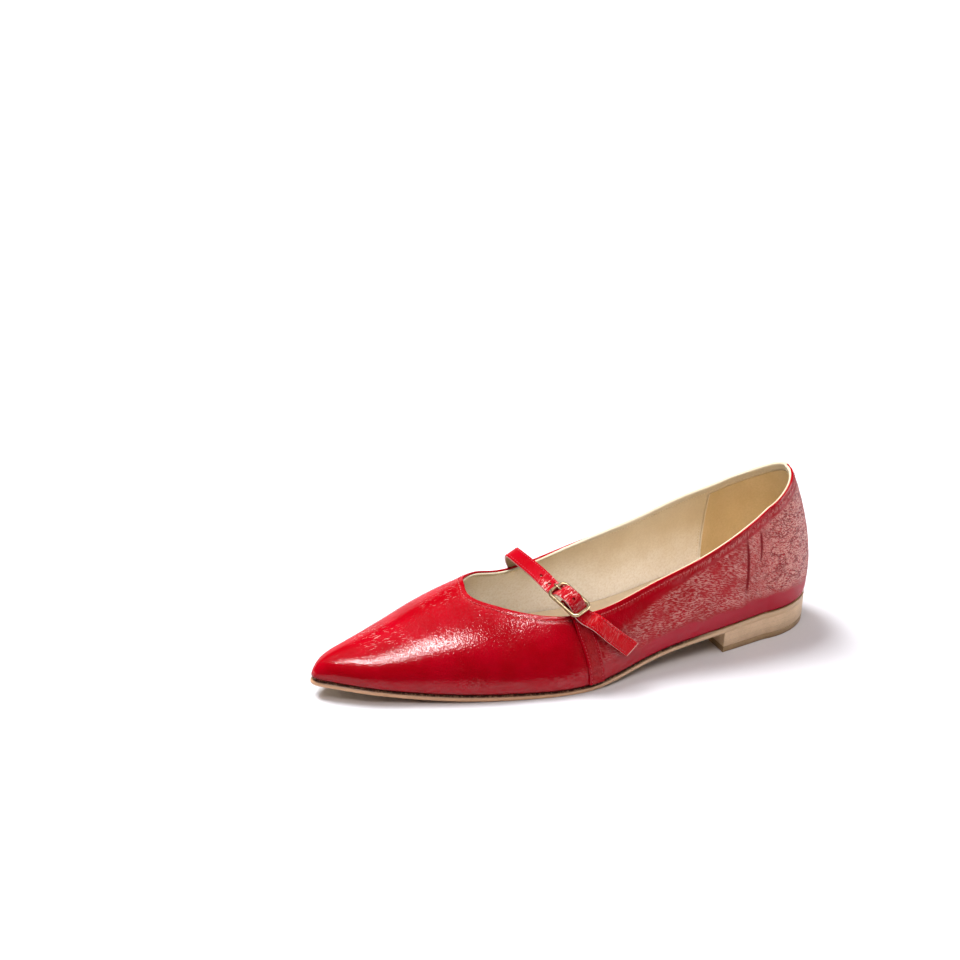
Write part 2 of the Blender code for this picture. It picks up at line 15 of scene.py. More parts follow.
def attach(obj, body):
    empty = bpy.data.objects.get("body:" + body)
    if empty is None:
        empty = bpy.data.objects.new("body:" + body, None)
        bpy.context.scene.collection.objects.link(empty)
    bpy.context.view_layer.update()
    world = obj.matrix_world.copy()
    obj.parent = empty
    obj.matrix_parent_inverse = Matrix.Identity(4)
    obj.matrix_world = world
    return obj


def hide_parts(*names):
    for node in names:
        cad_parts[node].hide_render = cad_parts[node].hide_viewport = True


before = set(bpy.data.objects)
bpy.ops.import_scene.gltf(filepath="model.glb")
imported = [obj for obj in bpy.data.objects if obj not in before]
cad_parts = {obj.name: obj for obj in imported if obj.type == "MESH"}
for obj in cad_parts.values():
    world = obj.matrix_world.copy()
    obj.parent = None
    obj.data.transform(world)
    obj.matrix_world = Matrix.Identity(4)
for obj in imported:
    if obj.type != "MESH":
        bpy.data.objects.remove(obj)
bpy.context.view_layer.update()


def table(columns, *rows):
    """Rows of named values."""
    return [dict(zip(columns.split(), row)) for row in rows]


# ------------ sizes, in millimetres

MM = 0.001
LENGTH = 262.0          # seat length of the shoe, heel to toe tip
ORIGIN_X = 4.85         # the middle of the whole shoe's box, across
ORIGIN_S = 130.75       # and along, forwards from the heel
HEEL_FAN = 33.0         # the ribs of the heel fan out over this length
HEEL_ROUND = 2.05       # exponent of the heel's outline: 2 is a half ellipse
GAP = 0.3               # air between upper, sole and heel
SOLE = 2.6
SOLE_MARGIN = 0.3
SOLE_SHADE_SHARE = 0.38       # the painted shade line under the upper fades out at this share of the sole's edge
INSOLE = 2.5
INSOLE_INSET = 1.9
INSOLE_FRONT = 12.0
BREAST = 58.5           # front face of the heel, from the back
LIFT = 3.0

OUTER, INNER = 1, -1

# The last, by cross sections: edges of its bottom, their height, and the crown line. A rib is a Bezier
# curve from the edge to the crown: stand, shoulder and swell shape its handles.
SECTIONS = table(
    "behind_tip outer inner seat crown_x crown_rise stand shoulder swell_outer swell_inner",
    (0.0, 0.0, 0.0, 9.25, 0.0, 0.0, 0.55, 0.50, 1.0, 1.0),
    (2.0, 3.5, -3.5, 9.00, 0.0, 6.0, 0.55, 0.50, 1.0, 1.0),
    (8.0, 8.0, -8.5, 8.75, -0.5, 10.2, 0.60, 0.55, 1.0, 1.5),
    (20.0, 15.5, -14.0, 7.75, -1.0, 14.8, 0.60, 0.55, 1.0, 1.5),
    (42.0, 24.0, -24.0, 5.25, -2.5, 23.7, 0.55, 0.50, 1.0, 1.0),
    (68.0, 32.5, -32.0, 3.50, -6.0, 34.0, 0.50, 0.50, 1.0, 0.5),
    (95.0, 39.0, -33.5, 2.75, -8.0, 42.0, 0.40, 0.45, 1.0, 0.0),
    (130.0, 41.5, -28.5, 3.50, -3.5, 52.0, 0.35, 0.50, 1.5, 0.0),
    (165.0, 34.5, -20.0, 9.25, -1.0, 66.5, 0.30, 0.55, 2.0, 1.0),
    (200.0, 31.0, -24.0, 13.00, 0.0, 79.5, 0.30, 0.60, 3.0, 3.0),
    (229.0, 26.0, -26.0, 14.25, 0.0, 82.5, 0.30, 0.60, 4.0, 4.5),
    (262.0, 21.0, -28.5, 15.00, 0.0, 80.0, 0.30, 0.60, 5.0, 7.0),
)
# The topline, from the heel along the outer side and back along the inner; share is how far up its rib.
TOPLINE = table(
    "side from_heel share",
    (OUTER, 0.0, 0.627), (OUTER, 20.0, 0.593), (OUTER, 40.0, 0.496), (OUTER, 70.0, 0.424),
    (OUTER, 100.0, 0.429), (OUTER, 130.0, 0.469), (OUTER, 155.0, 0.541), (OUTER, 176.0, 0.698),
    (OUTER, 184.0, 0.884), (OUTER, 182.0, 1.0),
    (INNER, 180.9, 0.920), (INNER, 175.4, 0.805), (INNER, 155.0, 0.570), (INNER, 130.0, 0.586),
    (INNER, 100.0, 0.537), (INNER, 70.0, 0.473), (INNER, 40.0, 0.479), (INNER, 20.0, 0.548),
    (INNER, 0.0, 0.627),
)
THROAT_ROW = 9          # the row of TOPLINE on the crown line

# The wall's grid of points, and how its columns and rows crowd together.
WALL_COLUMNS = 800
WALL_ROWS = 80
TIP_CROWDING = 0.1
HEEL_CROWDING = 0.3
TOP_CROWDING = (0.35, 1.02, -0.37)
ROW_CROWDING = 1.0
TIP_ROWS = 0.9

SKIN = 1.0              # red outer leather
LINING = 0.75
RIM_FRONT = 1.7         # width of the lining's bound edge at the throat
RIM_HEEL = 2.9          # and round the heel
GRIP_REACH = 43.0       # the suede patch inside the heel ends this far forwards
STITCH_DEPTH = 2.0      # stitch row below the topline
STITCH_PITCH = 1.55
STITCH = 1.1
THREAD = 0.2            # thread radius
WRINKLE_SLANT = 20.0    # the vamp's wrinkles run at this angle to the crown line

BUCKLE_CENTRE = (23.9, 142.4, 40.5)
BUCKLE_HEADING = 20.0
BUCKLE_PITCH = 18.0
BUCKLE_ROLL = 17.0
BUCKLE_LENGTH = 19.6
BUCKLE_WIDTH = 11.6
BUCKLE_CORNER = 2.6
WIRE_RADIUS = 0.7
WIRE_SHOWN = 0.9
BAR_RADIUS = 0.6
PRONG_RADIUS = 0.5

STRAP_WIDTH = 8.1
STRAP = 1.2
CHAPE = 0.9
SLACK = 0.3
TOP_POINTS = 17         # points of a strap's cross section that lie on its crowned face
CUT_END = 3             # the pale cut end takes this many of the strap's last stations
SEAM_INSET = 1.1        # stitch rows lie this far inside a strap's edges
HOLES_ALONG = (-20.0, -13.5, -6.2, 2.4)   # from the buckle's middle
HOLE_RADIUS = 0.75
HOLE_REACH = 1.7        # the cutter's reach to each side of the strap
# Creases of the strap that get painted glints: where along it, their reach and strength.
STRAP_CREASES = table(
    "from_buckle reach strength",
    (-14.0, 3.4, 1.0), (-1.5, 3.0, 0.9), (6.0, 2.0, 0.45), (15.0, 3.0, 0.2), (23.0, 3.5, 0.2),
)
STRAP_BAND = (139.5, 146.0)     # from the heel at the seat and at the topline
CHAPE_BAND = (134.2, 139.7)
CHAPE_LEAVES = 0.78             # the chape band leaves the wall at this share of its height
BAND_STEPS = 6
BAND_LIFT = 0.12

# Where the straps leave the wall: x, from_heel and z of their middle line, then the direction across.
STRAP_RISE = (
    (-22.0, 147.6, 40.2, -0.05, -0.97, 0.22),
    (-21.2, 149.0, 43.3, -0.30, -0.93, 0.18),
    (-19.1, 150.0, 45.2, -0.38, -0.91, 0.15),
    (-15.6, 150.0, 45.6, -0.34, -0.92, 0.18),
    (-4.0, 148.5, 45.0, -0.25, -0.94, 0.24),
    (6.0, 146.8, 43.5, -0.24, -0.93, 0.27),
)
STRAP_TAIL = (
    (35.0, 134.4, 33.0, -0.32, -0.82, 0.45),
    (37.8, 127.9, 27.6, -0.28, -0.78, 0.56),
    (39.6, 121.4, 22.2, -0.20, -0.77, 0.60),
    (40.7, 115.8, 17.6, -0.15, -0.77, 0.62),
)
CHAPE_RISE = (
    (32.3, 138.8, 31.0, -0.08, -0.96, 0.26),
    (30.1, 139.6, 33.9, -0.16, -0.94, 0.28),
    (27.8, 140.5, 36.2, -0.22, -0.93, 0.28),
    (25.5, 141.5, 38.0, -0.24, -0.93, 0.28),
)

# Folds of the upper, on its flat pattern: a line of points (from_heel, distance from the crown line,
# outer side positive), with the depth and half width of its trough.
FOLDS = table(
    "line depth width",
    (((50.0, 53.0), (48.4, 58.0), (47.7, 65.3), (48.0, 71.0), (48.3, 77.0)), 0.42, 0.85),
    (((41.8, 51.0), (40.2, 55.0), (39.1, 58.9), (39.5, 64.0), (40.5, 70.0)), 0.28, 0.9),
    (((23.5, 50.0), (18.5, 54.0), (16.8, 62.7), (20.0, 74.3)), 0.20, 2.4),
)
# Two creases beside the folds, darkened with painted shade: start and end are distances from the crown line,
# and the ends lie `bow` further forwards than the middle.
HEEL_CREASES = table("from_heel bow start end", (46.9, 1.3, 50.0, 78.0), (39.0, 1.0, 50.0, 65.0))

# ------------ numbers


def natural_spline(knots, values, at):
    knots, values, at = (np.asarray(numbers, float) for numbers in (knots, values, at))
    step, rise = np.diff(knots), np.diff(values)
    matrix = np.eye(len(knots))
    right = np.zeros(len(knots))
    for i in range(1, len(step)):
        matrix[i, i - 1:i + 2] = (step[i - 1], 2 * (step[i - 1] + step[i]), step[i])
        right[i] = 6 * (rise[i] / step[i] - rise[i - 1] / step[i - 1])
    bend = np.linalg.solve(matrix, right)
    i = np.clip(np.searchsorted(knots, at) - 1, 0, len(step) - 1)
    away = at - knots[i]
    slope = rise[i] / step[i] - step[i] * (2 * bend[i] + bend[i + 1]) / 6
    twist = (bend[i + 1] - bend[i]) / (6 * step[i])
    return values[i] + slope * away + bend[i] / 2 * away ** 2 + twist * away ** 3


def unit(vectors):
    vectors = np.asarray(vectors, float)
    return vectors / np.maximum(np.linalg.norm(vectors, axis=-1, keepdims=True), 1e-12)


def smoothstep(low, high, value):
    t = np.clip((value - low) / (high - low), 0.0, 1.0)
    return t * t * (3 - 2 * t)


def bell(value, middle, width):
    return np.exp(-((value - middle) / width) ** 2)


def interpolate(at, knots, rows):
    """Rows of numbers at places between knots."""
    return np.stack([np.interp(at, knots, column) for column in rows.T], -1)


def chord_lengths(points):
    return np.concatenate([[0.0], np.cumsum(np.linalg.norm(np.diff(points[:, :3], axis=0), axis=1))])


def smooth_path(points, count):
    points = np.asarray(points, float)
    chord = chord_lengths(points)
    at = np.linspace(0.0, chord[-1], count)
    return np.stack([natural_spline(chord, points[:, k], at) for k in range(points.shape[1])], -1)


# ------------ the last

def section(name, from_heel):
    """One measure of the last along the shoe, splined over the root of the distance to the tip."""
    knots = np.sqrt([row["behind_tip"] for row in SECTIONS])
    measures = [row[name] for row in SECTIONS]
    return natural_spline(knots, measures, np.sqrt(np.maximum(LENGTH - from_heel, 0.0)))


def seat_edge(side, run):
    """Where a rib meets the seat: x, from_heel and z. `run` counts ribs by their place along the shoe."""
    run = np.asarray(run, float)
    turn = np.clip(run / HEEL_FAN, 0.0, 1.0) * pi / 2
    column = "outer" if side == OUTER else "inner"
    round_x = section(column, HEEL_FAN) * np.sin(turn) ** (2 / HEEL_ROUND)
    round_s = HEEL_FAN * (1 - np.cos(turn) ** (2 / HEEL_ROUND))
    in_heel = run < HEEL_FAN
    x = np.where(in_heel, round_x, section(column, np.maximum(run, HEEL_FAN)))
    s = np.where(in_heel, round_s, run)
    return x, s, section("seat", s)


def rib(side, run, share):
    """A point of the last, a share 0 to 1 of the way up a rib from the seat to the crown line."""
    edge_x, edge_s, edge_z = seat_edge(side, run)
    crown_s = np.maximum(run, HEEL_FAN)
    crown_x = section("crown_x", crown_s)
    crown_z = section("seat", crown_s) + section("crown_rise", crown_s)
    reach = np.maximum(np.hypot(edge_x - crown_x, edge_s - crown_s), 1e-6)
    rise = crown_z - edge_z
    swell = section("swell_outer" if side == OUTER else "swell_inner", edge_s)
    low = 3 * share * (1 - share) ** 2
    high = 3 * share ** 2 * (1 - share)
    out = (1 - share) ** 3 * reach + low * (reach + swell) + high * reach * section("shoulder", edge_s)
    up = low * rise * section("stand", edge_s) + high * rise + share ** 3 * rise
    return np.stack([crown_x + (edge_x - crown_x) / reach * out,
                     crown_s + (edge_s - crown_s) / reach * out,
                     edge_z + up], -1)


def measure_girths():
    """Lengths of the ribs on each side, measured closer together near the tip."""
    near_tip = 12.0
    runs = np.concatenate([np.linspace(0.0, LENGTH - near_tip, 200),
                           LENGTH - near_tip * np.linspace(1, 0, 60)[1:] ** 2])
    shares = np.linspace(0.0, 1.0, 41)[:, None]
    return runs, {side: np.linalg.norm(np.diff(rib(side, runs, shares), axis=0), axis=2).sum(0)
                  for side in (OUTER, INNER)}


GIRTH_RUNS, GIRTHS = measure_girths()


def girth(side, run):
    return np.interp(run, GIRTH_RUNS, GIRTHS[side])


def on_pattern(run, from_crown):
    """Points of the last at places of its flat pattern."""
    points = np.zeros(np.shape(run) + (3,))
    for side in (OUTER, INNER):
        share = 1 - np.clip(np.abs(from_crown) / np.maximum(girth(side, run), 1e-6), 0.0, 1.0)
        here = (from_crown * side >= 0)[..., None]
        points = np.where(here, rib(side, run, share), points)
    return points


def topline_pattern(side, ease):
    """The topline on the flat pattern, ease 0 to 1 from the heel to the throat."""
    sides, runs, shares = (np.array([row[key] for row in TOPLINE])
                           for key in ("side", "from_heel", "share"))
    girths = np.array([girth(row["side"], row["from_heel"]) for row in TOPLINE])
    from_crown = sides * (1 - shares) * girths
    chord = np.concatenate([[0.0], np.cumsum(np.hypot(np.diff(runs), np.diff(from_crown)))])
    start, throat, end = chord[0], chord[THROAT_ROW], chord[-1]
    mirrored = [np.concatenate([[sign * line[1]], line, [sign * line[-2]]])
                for sign, line in ((-1, runs), (1, from_crown))]
    chord = np.concatenate([[start - chord[1]], chord, [2 * end - chord[-2]]])
    at = throat + ((start if side == OUTER else end) - throat) * (1 - ease)
    return [natural_spline(chord, line, at) for line in mirrored]


def topline_share(side, run):
    run_line, crown_line = topline_pattern(side, np.linspace(0.0, 0.85, 80))
    share_line = 1 - np.abs(crown_line) / girth(side, run_line)
    return np.interp(run, run_line, share_line)


class Wall:
    """The outer face of the upper as a ring grid: rows from the seat to the topline, columns around."""

    def __init__(self, columns, rows):
        half = columns // 2 + 1
        left = np.linspace(1.0, 0.0, half)
        left = left * (1 + HEEL_CROWDING * (1 - left))
        seat_run = LENGTH - LENGTH * (1 + TIP_CROWDING) * left ** 2 / (left + TIP_CROWDING)
        ease = 1 - sum(weight * left ** (k + 1) for k, weight in enumerate(TOP_CROWDING))
        rise = np.linspace(0.0, 1.0, rows + 1)[:, None] ** (ROW_CROWDING + TIP_ROWS * (1 - left) ** 4)
        halves = []
        for side in (OUTER, INNER):
            top_run, top_crown = topline_pattern(side, ease)
            seat_crown = side * girth(side, seat_run)
            run = seat_run + (top_run - seat_run) * rise
            from_crown = seat_crown + (top_crown - seat_crown) * rise
            halves.append((run, from_crown, on_pattern(run, from_crown)))
        self.run, self.from_crown, self.points = (
            np.concatenate([outer, inner[:, -2:0:-1]], axis=1) for outer, inner in zip(*halves))
        self.normals = grid_normals(self.points)
        steps = np.linalg.norm(np.diff(self.points, axis=0), axis=2)
        self.height = np.concatenate([np.zeros((1, columns)), np.cumsum(steps, axis=0)])
        around = unit(np.roll(self.points[-1], -1, axis=0) - np.roll(self.points[-1], 1, axis=0))
        down = unit(self.points[-6] - self.points[-1])
        square = np.abs(np.einsum("ij,ij->i", down, unit(np.cross(around, self.normals[-1]))))
        self.depth = (self.height[-1] - self.height) * np.maximum(square, 0.35)

    def below(self, depth, lift=0.0):
        """A line `depth` below the topline and `lift` off the wall, with its normals."""
        columns = self.points.shape[1]
        depth = np.broadcast_to(depth, columns)
        line, normals = (np.array([interpolate(-depth[j], -self.depth[:, j], grid[:, j])
                                   for j in range(columns)]) for grid in (self.points, self.normals))
        normals = unit(normals)
        return line + lift * normals, normals


def grid_normals(grid):
    around = np.roll(grid, -1, axis=1) - np.roll(grid, 1, axis=1)
    return unit(np.cross(around, np.gradient(grid, axis=0)))


# ------------ relief

def distance_to_line(x, y, line):
    """Distance in the plane to a polyline, and how far along it the nearest point lies, 0 to 1."""
    steps = np.diff(line, axis=0)
    lengths = np.linalg.norm(steps, axis=1)
    from_starts = np.stack([x, y], -1)[..., None, :] - line[:-1]
    t = np.clip((from_starts * steps).sum(-1) / lengths ** 2, 0.0, 1.0)
    away = np.linalg.norm(from_starts - t[..., None] * steps, axis=-1)
    place = (np.cumsum(lengths) - lengths + t * lengths) / lengths.sum()
    nearest = away.argmin(-1)[..., None]
    return (np.take_along_axis(measure, nearest, -1)[..., 0] for measure in (away, place))


def fold_relief(run, from_crown):
    """Height of the folds' troughs and lips."""
    relief = np.zeros(np.shape(run))
    for fold in FOLDS:
        line = smooth_path([(*point, 0.0) for point in fold["line"]], 40)[:, :2]
        away, place = distance_to_line(run, from_crown, line)
        away = away / fold["width"]
        fade = smoothstep(0.0, 0.18, place) * smoothstep(0.0, 0.18, 1 - place) + 0.15
        relief += fold["depth"] * fade * (0.4 * bell(away, 2.0, 1.0) - bell(away, 0.0, 1.0))
    return relief


def waviness(points, size, seed):
    """Smooth noise in -1..1 with features about `size` across."""
    flat = points.reshape(-1, 3) / size + seed
    values = [noise.noise(Vector(p)) for p in flat]
    return np.array(values).reshape(points.shape[:-1])


# ------------ meshes

def to_world(points):
    points = np.asarray(points, float).reshape(-1, 3)
    return np.stack([points[:, 0] - ORIGIN_X, ORIGIN_S - points[:, 1], points[:, 2]], -1) * MM


def solid_object(name, points, faces, materials=(), kinds=None, attributes=None):
    """A closed mesh with its faces outwards, from points in shoe millimetres, linked into the scene.

    kinds picks a material for each face; attributes are numbers for each point.
    """
    mesh = bpy.data.meshes.new(name)
    mesh.from_pydata(to_world(points).tolist(), [], [tuple(face) for face in faces])
    for material in materials:
        mesh.materials.append(material)
    if kinds is not None:
        mesh.polygons.foreach_set("material_index", np.asarray(kinds, np.int32))
    for key, values in (attributes or {}).items():
        layer = mesh.attributes.new(key, "FLOAT", "POINT")
        layer.data.foreach_set("value", np.asarray(values, np.float32).ravel())
    work = bmesh.new()
    work.from_mesh(mesh)
    bmesh.ops.remove_doubles(work, verts=work.verts, dist=1e-6)
    bmesh.ops.dissolve_degenerate(work, edges=work.edges, dist=1e-7)
    bmesh.ops.recalc_face_normals(work, faces=work.faces)
    if work.calc_volume(signed=True) < 0:
        bmesh.ops.reverse_faces(work, faces=work.faces)
    work.to_mesh(mesh)
    work.free()
    item = bpy.data.objects.new(name, mesh)
    bpy.context.scene.collection.objects.link(item)
    return item


def make_piece(name, points, faces, materials, slot, replaces=(), sharp=None, kinds=None, attributes=None):
    """One closed piece of the shoe, creased where its faces meet at more than `sharp` degrees."""
    item = solid_object(name, points, faces, materials, kinds, attributes)
    item.data.shade_smooth()
    if sharp:
        item.data.set_sharp_from_angle(angle=radians(sharp))
    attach(item, "root")
    if replaces:
        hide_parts(*replaces)
    return item


def loft_rings(rings, closed_along=False):
    """Points and faces through closed rings of equal length, with end caps unless closed_along."""
    stations, count = rings.shape[:2]
    row, i = np.indices((stations if closed_along else stations - 1, count))
    this, ahead = row * count, (row + 1) % stations * count
    beside = (i + 1) % count
    faces = np.stack([this + i, this + beside, ahead + beside, ahead + i], -1).reshape(-1, 4).tolist()
    if not closed_along:
        faces += [range(count), range((stations - 1) * count, stations * count)]
    return rings.reshape(-1, 3), faces


def sweep(centres, widths, outs, outline, closed=False):
    """Points and faces of an outline carried along a line, its axes along widths and outs."""
    outline = np.asarray(outline, float)
    rings = centres[:, None] + outline[:, 0, None] * widths[:, None] + outline[:, 1, None] * outs[:, None]
    return loft_rings(rings, closed)


def frames(centres, edges):
    """Axes for sweep: across the strap and out of it, stretched where the edges run at a slant."""
    along = unit(np.gradient(centres, axis=0))
    across = unit(edges)
    square = np.cross(along, across)
    slant = np.linalg.norm(square, axis=1, keepdims=True)
    return across / slant, -square / slant


def circle(radius, sides):
    angles = np.arange(sides) * 2 * pi / sides
    return np.stack([radius * np.cos(angles), radius * np.sin(angles)], -1)


# ------------ materials

class Nodes:
    """Nodes added to one tree; an input takes a plain value or another node's output."""

    def __init__(self, tree):
        self.tree = tree

    def feed(self, socket, value):
        if isinstance(value, bpy.types.NodeSocket):
            self.tree.links.new(value, socket)
        else:
            socket.default_value = value

    def node(self, kind, inputs=None, output=0, **settings):
        """An output of a new node."""
        made = self.tree.nodes.new("ShaderNode" + kind)
        for key, value in settings.items():
            setattr(made, key, value)
        for key, value in (inputs or {}).items():
            self.feed(made.inputs[key], value)
        return made.outputs[output]

    def calc(self, operation, a, b=0.0):
        return self.node("Math", {0: a, 1: b}, operation=operation)

    def times(self, first, *others):
        for other in others:
            first = self.calc("MULTIPLY", first, other)
        return first

    def most(self, first, *others):
        for other in others:
            first = self.calc("MAXIMUM", first, other)
        return first

    def fit(self, value, low, high, to_low=0.0, to_high=1.0):
        """A smooth step from to_low at low to to_high at high."""
        return self.node("MapRange", {"Value": value, "From Min": low, "From Max": high, "To Min": to_low,
                                      "To Max": to_high}, interpolation_type="SMOOTHSTEP")

    def fall(self, value, low, high):
        return self.fit(value, low, high, 1.0, 0.0)

    def mix(self, amount, a, b):
        a, b = ((*value, 1.0) if isinstance(value, tuple) else value for value in (a, b))
        return self.node("Mix", {0: amount, 6: a, 7: b}, 2, data_type="RGBA")


class Shader(Nodes):
    """A node material under construction; coordinates are object space in millimetres."""

    def __init__(self, name):
        self.material = bpy.data.materials.new(name)
        self.material.use_nodes = True
        super().__init__(self.material.node_tree)
        self.mm = self.node("Mapping", {"Vector": self.node("TexCoord", output="Object"),
                                        "Scale": (1 / MM,) * 3})

    def stretched(self, *scale):
        return self.node("Mapping", {"Vector": self.mm, "Scale": scale})

    def cloud(self, size, detail=2.0, roughness=0.5, vector=None, output="Fac"):
        return self.node("TexNoise", {"Vector": vector or self.mm, "Scale": 1.0 / size, "Detail": detail,
                                      "Roughness": roughness}, output)

    def cells(self, size, vector=None):
        """Distance to the nearest edge of a net of random cells."""
        return self.node("TexVoronoi", {"Vector": vector or self.mm, "Scale": 1.0 / size},
                         feature="DISTANCE_TO_EDGE")

    def attribute(self, name):
        return self.node("Attribute", output="Fac", attribute_name=name)

    def axis(self, k):
        return self.node("SeparateXYZ", {0: self.mm}, k)

    def wobble(self, vector, size, amount):
        """The coordinates pushed about by noise."""
        push = self.node("VectorMath", {0: self.cloud(size, output="Color"), 1: (0.5,) * 3},
                         operation="SUBTRACT")
        return self.node("VectorMath", {0: push, 1: (amount,) * 3, 2: vector}, operation="MULTIPLY_ADD")

    def turned(self, vector, degrees, *scale):
        """Coordinates turned in the pattern's plane, then stretched."""
        turn = self.node("VectorRotate", {"Vector": vector, "Angle": radians(degrees)},
                         rotation_type="Z_AXIS")
        return self.node("VectorMath", {0: turn, 1: scale}, operation="MULTIPLY")

    def finish(self, colour, bumps, **settings):
        """The material, from its colour, (height, depth in millimetres) bumps and further settings."""
        body = {"Base Color": colour}
        for height, depth in bumps:
            under = {"Normal": body["Normal"]} if "Normal" in body else {}
            body["Normal"] = self.node("Bump", {"Strength": 1.0, "Distance": depth * MM, "Height": height,
                                                **under})
        for key, value in settings.items():
            body[key.replace("_", " ").title().replace("Ior", "IOR")] = value
        for key, value in body.items():
            self.feed(self.tree.nodes["Principled BSDF"].inputs[key], value)
        return self.material


def darker(colour, share):
    return tuple(channel * share for channel in colour)


def crease_line(shader, along, across, from_heel, bow, start, end):
    """A crease of HEEL_CREASES, fading out towards its ends."""
    calc, fall = shader.calc, shader.fall
    away = calc("DIVIDE", calc("SUBTRACT", across, (start + end) / 2), (end - start) / 2)
    off = calc("SUBTRACT", calc("SUBTRACT", along, from_heel), shader.times(away, away, bow))
    return shader.times(fall(calc("ABSOLUTE", off), 0.2, 1.0), fall(calc("ABSOLUTE", away), 0.6, 1.0))


DEEP_RED = (0.31, 0.0, 0.004)
BRIGHT_RED = (0.36, 0.0, 0.007)
# painted reflection of the pale floor on the smooth lower band of the quarters
FLOOR_REFLECTION_RED = (0.43, 0.006, 0.030)
# painted light: a brighter red on the strap's free end
LIT_TAIL_RED = (0.52, 0.0, 0.006)
# painted shade in the veins and creases
CREASE_SHADE_RED = (0.17, 0.0, 0.006)
# painted pale glints on the crackle and the puckers
CRACKLE_GLINT_PINK = (0.73, 0.38, 0.33)
# painted glints on the wrinkles' lines
WRINKLE_GLINT_PINK = (0.90, 0.56, 0.52)
# painted shade along the upper's lower edge, where it meets the sole
SEAT_SHADE_DARK = (0.03, 0.004, 0.002)


def red_leather(name, crinkle_depth, grain_depth, roughness, hazy, glint_depth=0.06, glint=0.3,
                slant=WRINKLE_SLANT, line_size=0.50, line_from=0.60, gloss=0.25):
    """Glossy red leather. Its mesh gives the flat pattern's place (along, across, in millimetres), the
    distance below the topline (hem), how strongly the leather is crinkled and wrinkled there, and where
    shade along the seat and light on the strap's tail are painted. Pale glints on the crackle, puckers and
    wrinkles, shade in the creases and a reflection of the floor on the lower band are painted too."""
    shader = Shader(name)
    calc, times, most, fit, fall, mix = (
        shader.calc, shader.times, shader.most, shader.fit, shader.fall, shader.mix)
    cloud, turned, wobble = shader.cloud, shader.turned, shader.wobble
    along, across, hem, crinkle, wrinkle_and_glint, lit_tail, seat_shade = (
        shader.attribute(key) for key in ("along", "across", "hem", "crinkle", "wrinkle_and_glint", "lit_tail", "seat_shade"))
    place = shader.node("CombineXYZ", {0: along, 1: across})
    pushed = wobble(place, 6.0, 1.8)
    heel = fall(along, 24.0, 62.0)
    patches = most(times(fit(cloud(8.0, vector=place), 0.28, 0.62), 0.85), times(heel, 0.8))
    strength = times(crinkle, calc("ADD", patches, 0.15))

    # Crackle: fine slanting hairs ahead of the heel, a coarser mottle round it, as relief with pale glints
    # painted on it.
    hairs = fit(cloud(0.44, 2.0, 0.6, turned(pushed, 27.0, 0.18, 1.0, 1.0)), 0.45, 0.60)
    mottle = fit(cloud(0.42, 3.0, 0.65, turned(pushed, 20.0, 0.5, 1.0, 1.0)), 0.36, 0.60)
    crackle_and_glint = calc("ADD", times(hairs, 0.7, calc("SUBTRACT", 1.0, heel)), times(mottle, heel))
    crackle_and_glint = times(crackle_and_glint, strength)

    # Veins, strongest round the heel, and the two creases there: troughs in the relief, with shade painted
    # dark in them.
    net = turned(wobble(place, 3.0, 1.4), 20.0, 0.17, 0.50, 1.0)
    vein_and_shade = times(fall(shader.cells(1.0, net), 0.02, 0.13), fit(cloud(4.0, vector=place), 0.42, 0.54),
                 strength, fit(heel, 0.0, 1.0, 0.1, 1.0), 0.8)
    vein_and_shade = most(vein_and_shade, *(times(crease_line(shader, along, across, **crease), hazy)
                        for crease in HEEL_CREASES))

    # Puckers along the topline's stitches, and lines where the leather is wrinkled: relief with painted
    # glints.
    pucker_and_glint = cloud(0.7, 1.0, vector=turned(wobble(place, 2.0, 0.8), 12.0, 1.0, 0.30, 1.0))
    pucker_and_glint = times(fit(pucker_and_glint, 0.44, 0.64), fit(hem, 0.9, 1.8), fall(hem, 2.4, 4.4),
                   fit(along, 60.0, 110.0, 1.0, 0.2))
    lines_and_glint = cloud(line_size, vector=turned(wobble(place, 6.0, 1.6), slant, 0.17, 1.0, 1.0))
    lines_and_glint = times(fit(lines_and_glint, line_from, line_from + 0.08), wrinkle_and_glint)

    base = mix(fit(cloud(14.0, 3.0), 0.35, 0.65), DEEP_RED, BRIGHT_RED)
    # the floor's reflection painted on the smooth lower band, below the crinkle and towards the heel
    floor_reflection = times(fall(crinkle, 0.0, 0.3), fit(hem, 9.0, 14.0), fit(along, 90.0, 125.0, hazy, 0.0), 0.6)
    for amount, colour in (
            (floor_reflection, FLOOR_REFLECTION_RED), (lit_tail, LIT_TAIL_RED),
            (most(times(crackle_and_glint, hazy), times(pucker_and_glint, 0.45 * hazy)), CRACKLE_GLINT_PINK),
            (times(lines_and_glint, glint), WRINKLE_GLINT_PINK), (vein_and_shade, CREASE_SHADE_RED), (seat_shade, SEAT_SHADE_DARK)):
        base = mix(amount, base, colour)

    rough = fit(cloud(7.0), 0.3, 0.7, roughness - 0.03, roughness + 0.03)
    grazing = shader.node("LayerWeight", {"Blend": 0.5}, "Facing")
    dull = most(times(crinkle, 0.5), vein_and_shade, fit(grazing, 0.42, 0.80))
    sparkle = fit(cloud(0.85, 2.0, 0.6), 0.42, 0.58, 0.4, 1.7)
    pebble = fit(shader.cells(0.9, wobble(shader.mm, 1.0, 0.5)), 0.0, 0.45)
    bumps = ((crackle_and_glint, crinkle_depth * 0.35), (vein_and_shade, -crinkle_depth * 0.4), (pucker_and_glint, 0.06),
             (lines_and_glint, -glint_depth), (cloud(0.8, 1.0), grain_depth), (pebble, grain_depth * 0.2))
    shine = times(calc("SUBTRACT", gloss, times(dull, gloss * 0.96)), sparkle)
    return shader.finish(base, bumps, roughness=calc("ADD", rough, times(crinkle, 0.10)),
                         specular_ior_level=shine)


